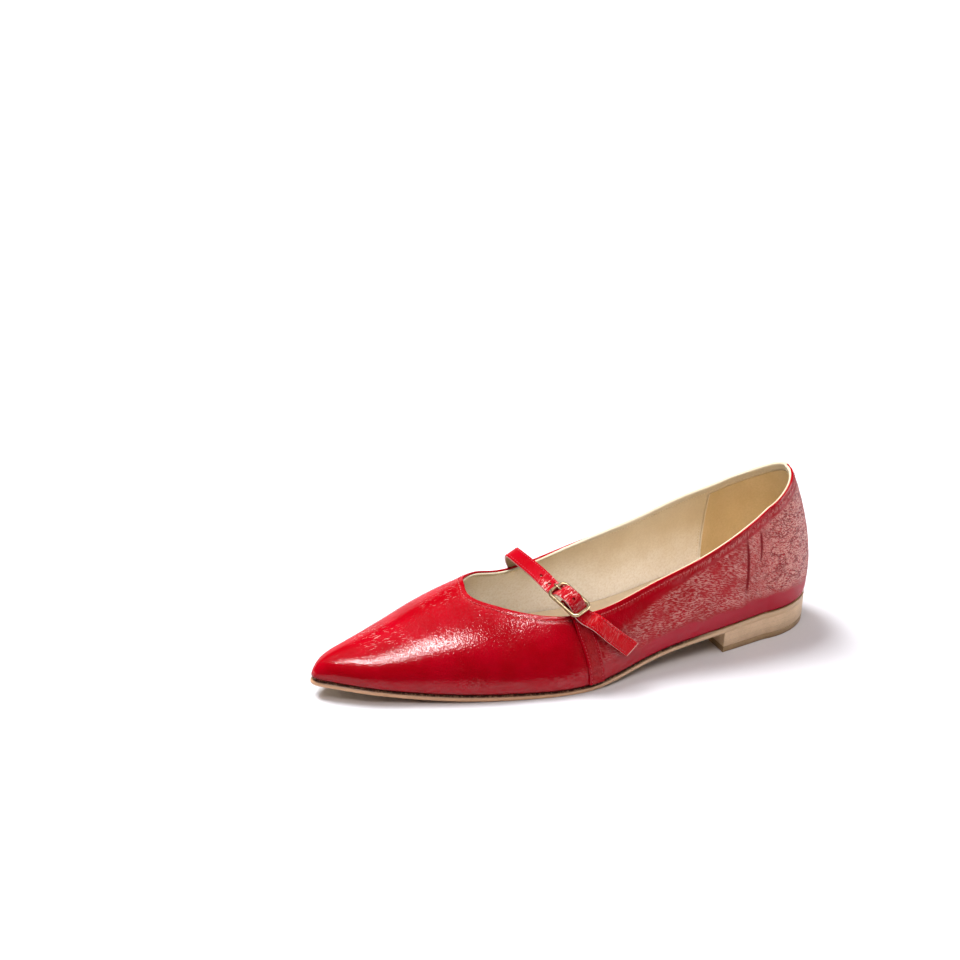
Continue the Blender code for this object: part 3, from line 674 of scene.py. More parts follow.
def lining_leather(name, light, dark, roughness, grain_depth, size=3.0, low=None):
    """Smooth leather or suede; low is a paler tone painted towards the insole, standing in for the light
    that falls on the lining's lower part.
    """
    shader = Shader(name)
    fit, mix, cloud = shader.fit, shader.mix, shader.cloud
    tone = cloud(26.0, 3.0, 0.55)
    base = mix(fit(tone, 0.3, 0.7), light, dark)
    # painted light: the tone turns to low towards the insole
    if low:
        height = shader.calc("ADD", shader.axis(2), fit(tone, 0.3, 0.7, -3.0, 3.0))
        base = mix(shader.fall(height, 16.0, 46.0), base, low)
    base = mix(fit(cloud(1.1, 3.0, 0.6), 0.3, 0.8, 0.0, 0.35), base, darker(dark, 0.8))
    bumps = ((cloud(size, 3.0, 0.6), grain_depth * 3), (shader.cells(0.7), grain_depth))
    return shader.finish(base, bumps, roughness=fit(tone, 0.3, 0.7, roughness - 0.06, roughness + 0.06),
                         sheen_weight=0.15, sheen_roughness=0.5)


def sole_leather(name):
    """Natural leather: tan edge, warmer at the toe and paler at the heel, with shade painted along its top
    under the upper, and a cream polished underside.
    """
    shader = Shader(name)
    fit, mix, cloud = shader.fit, shader.mix, shader.cloud
    sole_shade = shader.attribute("sole_shade")
    fibre = cloud(1.0, 4.0, 0.65, shader.stretched(1.0, 0.25, 3.0))
    edge = mix(fit(shader.axis(1), -60.0, 60.0), (0.66, 0.37, 0.21), (0.62, 0.43, 0.26))
    edge = mix(fit(fibre, 0.3, 0.75, 0.0, 0.45), edge, (0.38, 0.19, 0.08))
    ragged = fit(cloud(1.4, 3.0, 0.6), 0.35, 0.55, 0.75, 1.0)
    # shade painted along the top of the edge, under the upper's rim, with a ragged lower boundary; it also
    # dulls the gloss there
    edge = mix(shader.times(sole_shade, ragged), edge, (0.035, 0.010, 0.006))
    bottom = mix(fit(cloud(20.0, 4.0), 0.3, 0.7), (0.66, 0.50, 0.30), (0.58, 0.40, 0.22))
    return shader.finish(mix(shader.attribute("edge"), bottom, edge), ((fibre, 0.08), (cloud(0.6), 0.02)),
                         roughness=fit(fibre, 0.2, 0.8, 0.32, 0.5),
                         specular_ior_level=fit(sole_shade, 0.0, 1.0, 0.5, 0.05))


def heel_leather(name, light, dark, layer):
    """Stacked leather with faint level seams and upright scuffs."""
    shader = Shader(name)
    fit, mix, cloud = shader.fit, shader.mix, shader.cloud
    seam = shader.fall(shader.calc("PINGPONG", shader.axis(2), layer / 2), 0.0, 0.12)
    fibre = cloud(1.2, 4.0, 0.65, shader.stretched(1.0, 1.0, 4.0))
    base = mix(fit(cloud(9.0, 4.0, 0.6), 0.3, 0.7), light, dark)
    base = mix(fit(fibre, 0.35, 0.8, 0.0, 0.45), base, darker(dark, 0.7))
    base = mix(shader.times(seam, 0.35), base, darker(dark, 0.5))
    height = shader.calc("SUBTRACT", fibre, shader.times(seam, 0.8))
    return shader.finish(base, ((height, 0.1), (cloud(0.5), 0.03)),
                         roughness=fit(fibre, 0.2, 0.8, 0.42, 0.62))


def pale_gold(name):
    shader = Shader(name)
    wear = shader.cloud(2.2, 4.0, 0.6)
    base = shader.mix(shader.fit(wear, 0.35, 0.7), (0.58, 0.45, 0.26), (0.38, 0.28, 0.15))
    return shader.finish(base, ((shader.cloud(0.4), 0.01),), metallic=1.0,
                         roughness=shader.fit(wear, 0.3, 0.7, 0.26, 0.40))


def thread(name, light, dark):
    shader = Shader(name)
    ply = shader.cloud(0.35, 2.0, 0.6)
    return shader.finish(shader.mix(shader.fit(ply, 0.3, 0.7), light, dark), ((ply, 0.04),),
                         roughness=0.7, specular_ior_level=0.1)


def plain_floor(name):
    shader = Shader(name)
    base = shader.mix(shader.cloud(400.0), (0.60, 0.60, 0.64), (0.58, 0.58, 0.62))
    return shader.finish(base, ((shader.cloud(3.0), 0.02),), roughness=0.7)


RED = red_leather("red_crinkled_leather", crinkle_depth=0.20, grain_depth=0.075, roughness=0.11, hazy=0.9)
RED_STRAP = red_leather("red_strap_leather", crinkle_depth=0.20, grain_depth=0.05, roughness=0.075,
                        hazy=0.1, glint_depth=0.10, glint=0.75, slant=80.0, line_size=0.65,
                        line_from=0.54, gloss=0.14)
# beige_lining's low tone is painted light towards the insole
BEIGE, RIM, SUEDE, SOCK, TAN, RAW_EDGE = (lining_leather(**row) for row in table(
    "name light dark roughness grain_depth size low",
    ("beige_lining", (0.71, 0.60, 0.43), (0.66, 0.54, 0.37), 0.5, 0.006, 3.0, (0.97, 0.95, 0.92)),
    ("cream_rim", (0.68, 0.59, 0.45), (0.62, 0.53, 0.38), 0.5, 0.012),
    ("tan_suede_grip", (0.72, 0.55, 0.32), (0.62, 0.46, 0.24), 0.85, 0.05, 1.2),
    ("beige_insole", (0.70, 0.60, 0.44), (0.66, 0.54, 0.38), 0.48, 0.012),
    ("tan_underside", (0.30, 0.20, 0.10), (0.25, 0.15, 0.07), 0.7, 0.03),
    ("pale_raw_edge", (0.74, 0.42, 0.37), (0.60, 0.26, 0.23), 0.6, 0.02),
))
SOLE_LEATHER = sole_leather("natural_sole_leather")
STACK = heel_leather("stacked_heel_leather", (0.76, 0.54, 0.34), (0.64, 0.44, 0.26), layer=2.9)
TOP_LIFT = heel_leather("top_lift_rubber", (0.37, 0.225, 0.095), (0.30, 0.18, 0.075), layer=6.0)
GOLD = pale_gold("pale_gold")
RED_THREAD = thread("rose_thread", (0.56, 0.13, 0.13), (0.42, 0.04, 0.05))
STRAP_THREAD = thread("red_thread", (0.50, 0.08, 0.09), (0.38, 0.03, 0.04))
CREAM_THREAD = thread("cream_thread", (0.80, 0.70, 0.52), (0.66, 0.54, 0.36))

# ------------ upper

WALL = Wall(WALL_COLUMNS, WALL_ROWS)


def upper_relief(wall):
    """How far the red leather's face stands off the last, in millimetres."""
    edge = 0.06 * (1 - smoothstep(1.4, 2.6, wall.depth))
    tape = 0.05 * (1 - smoothstep(4.0, 6.0, wall.depth))
    groove = -0.10 * bell(wall.depth, STITCH_DEPTH, 0.45)
    tuck = -0.7 * (1 - smoothstep(0.0, 1.6, wall.height))
    quarter = 1 - smoothstep(110.0, 150.0, wall.run)
    waves = waviness(wall.points, 14.0, 3.1) * (0.10 + 0.12 * quarter)
    small = waviness(wall.points * (1.0, 0.7, 1.0), 5.0, 7.7) * (0.03 + 0.09 * quarter)
    calm = smoothstep(3.0, 9.0, wall.height) * smoothstep(1.5, 5.0, wall.depth)
    return edge + tape + groove + tuck + (waves + small) * calm + fold_relief(wall.run, wall.from_crown)


def crinkle_mask(wall):
    """Where the leather's crease net is strong, and with it the painted pale glints: the quarters above the
    stiff lower band.
    """
    quarter = 1 - smoothstep(85.0, 150.0, wall.run)
    back = smoothstep(4.0, 15.0, wall.run)
    low = smoothstep(8.5, 13.0, wall.height + 2.5 * waviness(wall.points, 9.0, 1.3))
    smooth_band = smoothstep(68.0, 125.0, wall.run)
    margin = smoothstep(4.3 + 4.5 * smooth_band, 5.6 + 8.5 * smooth_band, wall.depth)
    # weaker on the inner side, which the overhead lamp lights brightly, so the painted glints there are
    # fainter
    side = 0.65 + 0.35 * smoothstep(-10.0, 10.0, wall.points[..., 0])
    return np.clip(quarter * (0.2 + 0.8 * back) * low * margin * side, 0.0, 1.0)


def wrinkle_mask(wall):
    """Where fine lengthwise wrinkles break the smooth vamp; their lines get painted glints."""
    vamp = smoothstep(168.0, 192.0, wall.run) * smoothstep(8.0, 18.0, wall.height)
    patches = smoothstep(-0.05, 0.5, waviness(wall.points, 22.0, 9.0))
    return vamp * patches * smoothstep(2.6, 6.0, wall.depth)


def fold_over(outer, inner, up, rise, steps=7):
    """Rows of a rounded edge from the outer line over to the inner line."""
    middle, half = (outer + inner) / 2, (outer - inner) / 2
    return np.array([middle + half * cos(t) + up * rise * sin(t)
                     for t in np.linspace(0.0, pi, steps + 2)[1:-1]])


def build_upper():
    outside = WALL.points + upper_relief(WALL)[..., None] * WALL.normals
    inner_rows = np.linspace(WALL_ROWS, 0, 13).astype(int)
    inside = WALL.points[inner_rows] - SKIN * WALL.normals[inner_rows]
    up = unit(WALL.points[-1] - WALL.points[-4])
    rim = fold_over(outside[-1], inside[0], up, (0.5 - 0.4 * lining_rise())[:, None])
    attributes = {}
    # seat_shade: shade painted along the upper's lower edge, over the sole, stronger and wider towards the
    # toe
    front = smoothstep(95.0, 140.0, WALL.run)
    width = 0.7 + 0.7 * front + 0.5 * waviness(WALL.points, 4.0, 2.0)
    seat_shade = (0.45 + 0.45 * front) * bell(WALL.height, 0.0, width)
    for key, values in (("crinkle", crinkle_mask(WALL)), ("wrinkle_and_glint", wrinkle_mask(WALL)),
                        ("along", WALL.run), ("across", WALL.from_crown),
                        ("hem", WALL.depth), ("seat_shade", seat_shade)):
        behind = values[inner_rows] if key in ("along", "across") else 0 * values[inner_rows]
        over = np.repeat(values[-1:], len(rim), axis=0)
        attributes[key] = np.concatenate([values, over, behind])
    make_piece("upper_leather", *loft_rings(np.concatenate([outside, rim, inside]), True), [RED],
               "upper_leather", ["upper"], 60.0, attributes=attributes)


def rim_width():
    """Width of the lining's bound edge, column by column."""
    return RIM_HEEL + (RIM_FRONT - RIM_HEEL) * smoothstep(20.0, 125.0, WALL.run[-1])


def lining_rise():
    """How far the lining's edge stands above the red one: round the heel and along the inner side."""
    run, crown = WALL.run[-1], WALL.from_crown[-1]
    inner = smoothstep(-4.0, 2.0, -crown) * (1 - smoothstep(95.0, 150.0, run))
    heel = np.where(crown < 0, 1.0, 0.45) * (1 - smoothstep(4.0, 22.0, run))
    return 0.1 + 0.9 * np.maximum(inner, heel)


def build_lining():
    rows = np.arange(0, WALL_ROWS + 1, 2)
    depth = WALL.depth[rows]
    normals = WALL.normals[rows]
    width = rim_width()
    rim = 0.25 * (1 - smoothstep(width - 0.5, width + 0.1, depth))
    groove = -0.16 * bell(depth, width, 0.4)
    waves = waviness(WALL.points[rows], 18.0, 11.0) * 0.22 * smoothstep(3.0, 9.0, depth)
    inner_face = WALL.points[rows] - (SKIN + LINING + rim + groove + waves)[..., None] * normals
    back_rows = np.linspace(0, WALL_ROWS, 8).astype(int)
    back = WALL.points[back_rows] - (SKIN + 0.06) * WALL.normals[back_rows]
    up = unit(WALL.points[-1] - WALL.points[-4])
    rise = lining_rise()[:, None]
    outer_top = back[-1] + up * rise * 1.1 + np.maximum(rise - 0.2, 0.0) * 1.2 * WALL.normals[-1]
    edge = fold_over(outer_top, inner_face[-1] + up * rise * 0.8, up, 0.35, 5)
    rings = np.concatenate([back, edge, inner_face[::-1]])
    kinds = np.zeros((len(rings), WALL_COLUMNS), int)
    first = len(back) - 1
    kinds[first:first + len(edge) + 1] = 1
    kinds[first + len(edge) + 1:-1] = (depth[::-1][1:] < width + 0.1).astype(int)
    make_piece("lining", *loft_rings(rings, True), [BEIGE, RIM], "lining_leather", sharp=60.0,
               kinds=kinds.ravel())


def stitches(name, line, normals, material, slot, closed=True):
    """A row of thread stitches, each a short bead sunk at its ends."""
    if closed:
        line = np.concatenate([line, line[:1]])
        normals = np.concatenate([normals, normals[:1]])
    chord = chord_lengths(line)
    count = int(chord[-1] // STITCH_PITCH)
    middles = (np.arange(count) + 0.5) * chord[-1] / count
    spread = np.linspace(-0.5, 0.5, 7)
    bulge = np.sqrt(np.maximum(1 - (2 * spread) ** 2 * 0.97, 0.02))
    ring = circle(THREAD, 7)
    all_points = []
    all_faces = []
    for middle in middles:
        at = middle + spread * STITCH
        centre = interpolate(at, chord, line)
        up = unit(interpolate(at, chord, normals))
        along = unit(np.gradient(centre, axis=0))
        across = unit(np.cross(up, along))
        centre = centre + up * (THREAD * (1.1 * bulge - 0.75))[:, None]
        points, faces = sweep(centre, across * bulge[:, None] * 1.1, up * bulge[:, None], ring)
        base = len(all_points) * len(points)
        all_points.append(points)
        all_faces += [[base + i for i in face] for face in faces]
    make_piece(name, np.concatenate(all_points), all_faces, [material], slot)


def build_topline_stitches():
    line, normals = WALL.below(STITCH_DEPTH, 0.12)
    stitches("topline_stitches", line, normals, RED_THREAD, "upper_leather")
    line, normals = WALL.below(rim_width() - 0.5, -(SKIN + LINING + 0.2))
    stitches("lining_stitches", line, -normals, CREAM_THREAD, "lining_leather")


def build_heel_grip():
    """A suede patch round the inside of the heel, ending at a seam on each side."""
    half = 60
    runs = GRIP_REACH * np.abs(np.linspace(-1, 1, 2 * half + 1))
    sides = np.where(np.arange(2 * half + 1) < half, OUTER, INNER)
    shares = np.linspace(0.0, 1.0, 40)
    grid = np.zeros((len(shares), len(runs), 3))
    for j, (side, run) in enumerate(zip(sides, runs)):
        top = topline_share(side, run) - (RIM_HEEL + 0.2) / girth(side, run)
        low = (INSOLE + 0.4) / girth(side, run)
        grid[:, j] = rib(side, run - (1 - shares) * 1.5 * (run / GRIP_REACH), low + (top - low) * shares)
    around = np.gradient(grid, axis=1)
    normals = unit(np.cross(np.gradient(grid, axis=0), around))
    front = grid - (SKIN + LINING + 0.42 + 0.1 * waviness(grid, 12.0, 5.0))[..., None] * normals
    back = grid - (SKIN + LINING + 0.02) * normals
    for edge, name in ((0, "outer"), (-1, "inner")):
        line = front[:, edge] + 0.1 * normals[:, edge]
        ahead = unit(front[:, edge] - front[:, 3 if edge == 0 else -4])
        seam = sweep(line[::-1] + 0.1 * ahead[::-1], ahead[::-1], -normals[::-1, edge],
                     [(0.5 * cos(a), 0.42 * sin(a)) for a in np.radians(np.arange(0, 360, 24))])
        make_piece("grip_seam_" + name, *seam, [BEIGE], "lining_leather")
        stitches("grip_stitches_" + name, (line + 1.7 * ahead + 0.5 * normals[:, edge])[1:-1],
                 -normals[1:-1, edge], CREAM_THREAD, "lining_leather", False)
    points, faces = loft_rings(np.concatenate([front, back[:, ::-1]], axis=1))
    faces = faces[:-2]                  # the patch is bent, so strips close it instead of flat caps
    rows, columns = front.shape[:2]
    for start in (0, (rows - 1) * 2 * columns):
        last = start + 2 * columns - 1
        faces += [(start + j, start + j + 1, last - 1 - j, last - j) for j in range(columns - 1)]
    make_piece("heel_grip", points, faces, [SUEDE], "lining_leather", sharp=50.0)


# ------------ bottom

SLAB_STEPS = 16         # faces across a sheet
EDGE_STEP = 0.2         # the outline's direction is measured over this much to each side


def grown_edge(side, runs, grow):
    """The seat's edge in plan, moved outwards square to itself."""
    before, here, after = (np.stack(seat_edge(side, np.clip(runs + step, 0.0, LENGTH))[:2], -1)
                           for step in (-EDGE_STEP, 0.0, EDGE_STEP))
    along = unit(after - before)
    out = np.stack([along[:, 1], -along[:, 0]], -1) * side
    out[runs <= 0.0] = (0.0, -1.0)
    out[runs >= LENGTH] = (0.0, 1.0)
    return here + np.reshape(grow, (-1, 1)) * out


def outline_ring(start, end, count, grow, inset=0.0, flush_until=None):
    """The shoe's outline in plan, as its outer side and its inner side. Behind flush_until the inset is
    only a little, so that the edge meets the next layer."""
    spread = (1 - np.cos(np.linspace(0.0, pi, count))) / 2
    runs = start + (end - start) * (0.75 * spread + 0.25 * np.linspace(0.0, 1.0, count))
    if flush_until is not None:
        inset = inset * (0.12 + 0.88 * smoothstep(flush_until, flush_until + 8.0, runs))
    grow = grow - inset
    return [grown_edge(side, runs, grow) for side in (OUTER, INNER)]


def slab(name, span, count, grow, top, bottom, profile, material, slot, replaces, flush_until=None):
    """A sheet with the shoe's outline and a shaped edge, between the heights top and bottom along the shoe.

    profile lists (inset, share of the thickness from the top) down the edge. The points carry where the
    edge is and how dark the shade painted along its top is; the line is faint behind flush_until.
    """
    first_outer, first_inner = outline_ring(*span, count, grow)
    middle = (first_outer[:, 0] + first_inner[:, 0]) / 2
    outers, inners = [], []
    for inset, _ in profile:
        outer, inner = outline_ring(*span, count, grow, inset, flush_until)
        outers.append(np.stack([np.maximum(outer[:, 0], middle), outer[:, 1]], -1))
        inners.append(np.stack([np.minimum(inner[:, 0], middle), inner[:, 1]], -1))
    across = np.linspace(0.0, 1.0, SLAB_STEPS + 1)[1:-1, None, None]
    under = outers[-1] + (inners[-1] - outers[-1]) * across
    over = outers[0] + (inners[0] - outers[0]) * across[::-1]
    plan = np.concatenate([outers, under, inners[::-1], over]).swapaxes(0, 1)

    shares = np.array([share for _, share in profile])
    none, full = np.zeros(len(across)), np.ones(len(across))
    share = np.concatenate([shares, full, shares[::-1], none])
    high, low = top(plan[..., 1]), bottom(plan[..., 1])
    rings = np.concatenate([plan, (high + (low - high) * share)[..., None]], -1)

    edge = np.concatenate([0 * shares + 1, none, 0 * shares + 1, none])
    # shade painted along the top of the edge, fading down it; the sheet's top face, under the upper, is
    # shaded all over
    dark = np.clip((SOLE_SHADE_SHARE - shares) / 0.2, 0.0, 1.0)
    dark = np.concatenate([dark, none, dark[::-1], none])
    if flush_until is not None:
        dark = dark * (0.15 + 0.85 * smoothstep(flush_until, 85.0, first_outer[:, 1:]))
    sole_shade = np.broadcast_to(dark, rings.shape[:2]).copy()
    sole_shade[:, -len(over):] = 1.0
    make_piece(name, *loft_rings(rings), [material], slot, [replaces], 45.0,
               attributes={"edge": np.broadcast_to(edge, rings.shape[:2]), "sole_shade": sole_shade})


def seat(s):
    return section("seat", s)


def sole_bottom(s):
    return np.maximum(seat(s) - GAP - SOLE, 0.0)


# Edges of the bottom's sheets, from their top down: (inset from the outline, share of the thickness).
SOLE_PROFILE = ((1.1, 0.0), (1.05, 0.14), (0.45, 0.24), (0.1, 0.34), (0.0, 0.5), (0.02, 0.78), (0.2, 0.93),
                (0.8, 1.0))
STACK_PROFILE = ((0.04, 0.0), (0.0, 0.02), (0.0, 0.5), (0.0, 0.97), (0.15, 1.0))
LIFT_PROFILE = ((0.1, 0.0), (0.0, 0.1), (0.0, 0.5), (0.05, 0.9), (0.3, 1.0))
INSOLE_PROFILE = ((0.6, 0.0), (0.1, 0.2), (0.0, 0.6), (0.2, 1.0))


def build_bottom():
    slab("outsole_leather", (0.0, LENGTH), 190, SOLE_MARGIN, lambda s: seat(s) - GAP, sole_bottom,
         SOLE_PROFILE, SOLE_LEATHER, "sole_leather", "outsole", BREAST)
    slab("heel_stack_leather", (0.0, BREAST), 70, SOLE_MARGIN - 0.05, lambda s: sole_bottom(s) - 0.02,
         lambda s: s * 0 + LIFT, STACK_PROFILE, STACK, "heel_leather", "heel_stack")
    slab("top_lift_rubber", (0.0, BREAST), 70, SOLE_MARGIN, lambda s: s * 0 + LIFT - 0.02, lambda s: s * 0,
         LIFT_PROFILE, TOP_LIFT, "lift", "top_lift")
    slab("insole_leather", (0.0, LENGTH - INSOLE_FRONT), 150, -INSOLE_INSET, lambda s: seat(s) + INSOLE,
         seat, INSOLE_PROFILE, SOCK, "lining_leather", "insole")


# ------------ strap and buckle

def buckle_axes():
    heading, pitch, roll = (radians(a) for a in (BUCKLE_HEADING, BUCKLE_PITCH, BUCKLE_ROLL))
    along = np.array([cos(heading) * cos(pitch), -sin(heading) * cos(pitch),
                      -sin(pitch)])
    level = np.array([-sin(heading), -cos(heading), 0.0])
    upright = -np.cross(along, level)
    across = level * cos(roll) + upright * sin(roll)
    out = upright * cos(roll) - level * sin(roll)
    return along, across, out


ALONG, ACROSS, OUT = buckle_axes()


def at_buckle(along, out, across=0.0):
    """Places in the buckle's own axes, from its middle."""
    along, out, across = (np.asarray(v, float)[..., None] for v in (along, out, across))
    return np.array(BUCKLE_CENTRE) + along * ALONG + across * ACROSS + out * OUT


def through_buckle(places):
    """Strap path rows at (along, out) places over the buckle."""
    return [np.concatenate([at_buckle(along, out), ACROSS]) for along, out in places]


def wall_band(side, seat_run, top_run, lift, height=1.0):
    """Strap path rows up the wall, as far as a share `height` of the way to the topline."""
    top_share = float(topline_share(side, top_run))
    shares = np.linspace(0.02, top_share * height, BAND_STEPS)
    runs = seat_run + (top_run - seat_run) * (shares / top_share) ** 1.5
    here = rib(side, runs, shares)
    normals = unit(np.cross(rib(side, runs, shares + 0.01) - here, rib(side, runs + 0.5, shares) - here))
    normals *= np.sign(normals[:, :1] * side)
    edges = unit(np.cross(normals, np.gradient(here, axis=0)))
    edges *= -np.sign(edges[:, 1:2])
    return np.concatenate([here + lift * normals, edges], axis=1)


def strap_path():
    """Up the inner wall, over the instep, under the frame, over the bar and prong, and down to the tail."""
    under = WIRE_RADIUS + GAP + STRAP / 2 + SLACK
    over = BAR_RADIUS + GAP + 2 * PRONG_RADIUS + GAP + STRAP / 2
    reach = BUCKLE_LENGTH / 2 - WIRE_RADIUS
    hump = through_buckle((
        (-reach, -under), (-reach * 0.84, -under * 0.75), (-reach * 0.62, over * 0.45),
        (-reach * 0.32, over * 0.93), (0.0, over), (reach * 0.34, over * 0.86), (reach * 0.7, 0.0),
        (reach, -under)))
    climb = wall_band(INNER, *STRAP_BAND, BAND_LIFT + STRAP / 2)
    return np.concatenate([climb, STRAP_RISE, hump, STRAP_TAIL])


def chape_path():
    """Up the outer wall and round the buckle's bar."""
    loop = BAR_RADIUS + GAP + CHAPE / 2
    turns = np.radians(np.linspace(-90.0, 150.0, 9))
    climb = wall_band(OUTER, *CHAPE_BAND, BAND_LIFT + CHAPE / 2, CHAPE_LEAVES)
    return np.concatenate([climb, CHAPE_RISE, through_buckle(
        [(-loop * cos(a), loop * sin(a)) for a in turns])])


def strap_outline(width, thickness):
    """A strap's cross section: crowned top, thin pale edges, flat underside."""
    w, t = width / 2, thickness / 2
    top = [(w * cos(a), t * (0.45 + 0.55 * sin(a) ** 0.5))
           for a in np.radians(np.linspace(8, 172, TOP_POINTS))]
    under = [(-w * 0.985, -t * 0.8), (-w * 0.94, -t)]
    under += [(x, -t) for x in np.linspace(-w * 0.6, w * 0.6, 5)]
    under += [(w * 0.94, -t), (w * 0.985, -t * 0.8)]
    return np.array(top + under)


def strap_like(name, path, count, thickness, replaces, stitch_names, stitched, facing=1, creases=(),
               edge=RAW_EDGE):
    """A strap along a path of (middle, direction across) rows, with a stitch row near each edge over the
    stations of `stitched`. Returns the piece, its middle line and the direction its crowned face looks in.
    """
    line = smooth_path(path, count)
    centres = line[:, :3]
    widths, outs = frames(centres, line[:, 3:])
    outs = outs * facing
    outline = strap_outline(STRAP_WIDTH, thickness)
    points, faces = sweep(centres, widths, outs, outline)
    red_face, edge_face, under_face = range(3)
    edge_points = (TOP_POINTS - 1, TOP_POINTS, len(outline) - 2, len(outline) - 1)
    station, k = np.indices((count - 1, len(outline)))
    kinds = np.where(station > count - CUT_END, edge_face, red_face)
    kinds = np.where(k < TOP_POINTS - 1, kinds, np.where(np.isin(k, edge_points), edge_face, under_face))
    kinds = [*kinds.ravel(), edge_face, edge_face]
    along = np.repeat(chord_lengths(line), len(outline))
    across = np.tile(outline[:, 0], count)
    middle = 1 - smoothstep(STRAP_WIDTH / 2 - 2.2, STRAP_WIDTH / 2 - 1.2, np.abs(across))
    from_buckle = (points - np.array(BUCKLE_CENTRE)) @ ALONG
    # painted glints at the strap's creases
    glints = np.zeros(len(along))
    for crease in creases:
        glint = crease["strength"] * bell(from_buckle, crease["from_buckle"], crease["reach"])
        glints = np.maximum(glints, glint)
    raw = edge is RAW_EDGE
    # tail is the strap's free end past the buckle; lit_tail paints light on it
    tail = smoothstep(9.0, 15.0, from_buckle) if raw else 0 * along
    crinkle = 0.2 + 0.6 * tail if raw else 0.5
    piece = make_piece(name, points, faces, [RED_STRAP, edge, TAN], "upper_leather", [replaces], 50.0, kinds,
                       {"crinkle": crinkle * middle, "wrinkle_and_glint": glints, "along": along,
                        "across": across, "hem": 0 * along + 50.0, "lit_tail": tail})
    for side, place in ((1, "rear"), (-1, "front")):
        row = centres + side * (STRAP_WIDTH / 2 - SEAM_INSET) * widths + thickness * 0.44 * outs
        stitches(f"{stitch_names}_{place}", row[stitched], outs[stitched], STRAP_THREAD, "upper_leather",
                 False)
    return piece, centres, outs


def punch(piece, holes):
    """Cut round holes through a piece, at (centre, axis) places."""
    guides = []
    for centre, axis in holes:
        side = unit(np.cross(axis, ACROSS))
        ends = np.stack([centre - HOLE_REACH * axis, centre + HOLE_REACH * axis])
        guides.append(solid_object("punch", *sweep(ends, np.stack([side] * 2),
                                                   np.stack([np.cross(side, axis)] * 2),
                                                   circle(HOLE_RADIUS, 18))))
        modifier = piece.modifiers.new("punch", "BOOLEAN")
        modifier.operation = "DIFFERENCE"
        modifier.object = guides[-1]
    made = bpy.data.meshes.new_from_object(piece.evaluated_get(bpy.context.evaluated_depsgraph_get()))
    piece.modifiers.clear()
    piece.data = made
    for guide in guides:
        bpy.data.objects.remove(guide)


def build_strap():
    piece, centres, outs = strap_like("strap_leather", strap_path(), 420, STRAP, "strap", "strap_stitches",
                                      slice(8, -6), creases=STRAP_CREASES)
    from_buckle = (centres - np.array(BUCKLE_CENTRE)) @ ALONG
    nearest = [int(np.argmin(np.abs(from_buckle - along))) for along in HOLES_ALONG]
    punch(piece, [(centres[k], outs[k]) for k in nearest])


def build_chape():
    strap_like("chape_band_leather", chape_path(), 240, CHAPE, "chape_band", "band_stitches",
               slice(4, 165), facing=-1, edge=RED_STRAP)


def wire(name, centres, radius, closed=False, replaces=()):
    """A round metal wire along a line."""
    if closed:
        along = unit(np.roll(centres, -1, axis=0) - np.roll(centres, 1, axis=0))
    else:
        along = unit(np.gradient(centres, axis=0))
    guide = OUT if np.max(np.abs(along @ OUT)) < 0.3 else ACROSS
    widths = unit(np.cross(along, guide))
    points, faces = sweep(centres, widths, unit(np.cross(widths, along)), circle(radius, 24), closed)
    make_piece(name, points, faces, [GOLD], "buckle_metal", replaces)


def build_buckle():
    half_along = BUCKLE_LENGTH / 2 - WIRE_RADIUS
    half_across = BUCKLE_WIDTH / 2 - WIRE_RADIUS
    line = []
    for corner, (a, c) in enumerate(((1, 1), (-1, 1), (-1, -1), (1, -1))):
        for turn in np.radians(np.linspace(0.0, 90.0, 13) + 90.0 * corner):
            line.append(((half_along - BUCKLE_CORNER) * a + BUCKLE_CORNER * cos(turn),
                         (half_across - BUCKLE_CORNER) * c + BUCKLE_CORNER * sin(turn)))
    along, across = np.array(line).T
    wire("buckle_frame_metal", at_buckle(along, 0.0 * along, across), WIRE_SHOWN, True, ["buckle_frame"])
    across = np.linspace(-half_across, half_across, 9)
    wire("buckle_bar_metal", at_buckle(0.0 * across, 0.0 * across, across), BAR_RADIUS)
    # The prong's eye round the bar, its straight shank, and a tip that bends down over the frame.
    eye = BAR_RADIUS + GAP + PRONG_RADIUS
    rest = WIRE_RADIUS + GAP + PRONG_RADIUS
    prong = [(eye * cos(a), eye * sin(a)) for a in np.radians(np.linspace(-110.0, 90.0, 25))]
    prong += [(-half_along * f, eye + (rest - eye) * f) for f in np.linspace(0.1, 1.0, 12)]
    prong += [(-half_along - 0.4, rest), (-half_along - 0.8, rest - 0.05), (-half_along - 1.1, rest - 0.1)]
    wire("buckle_prong_metal", at_buckle(*np.array(prong).T), PRONG_RADIUS, replaces=["buckle_prong"])


# ------------ stage

CAMERA_AZIMUTH = 59.75                  # degrees; 0 looks at the toe, 90 at the outer side
CAMERA_ELEVATION = 26.58
CAMERA_ROLL = 4.99
CAMERA_DISTANCE = 2273.4                # millimetres
CAMERA_AIM = (-139.4, 27.3, 20.0)       # part frame, millimetres
CAMERA_LENS = 171.5
CAMERA_SENSOR = 36.0
CAMERA_REACH = 50.0                     # metres
FLOOR_REACH = 25.0                      # metres
DARK_STUDIO = (0.06, 0.06, 0.075)
CEILING = (0.55, 0.55, 0.60)
BACKDROP = (1.0, 1.0, 1.07)
BACKDROP_AZIMUTH = -105.0
WHITE = (1.0, 1.0, 1.0)

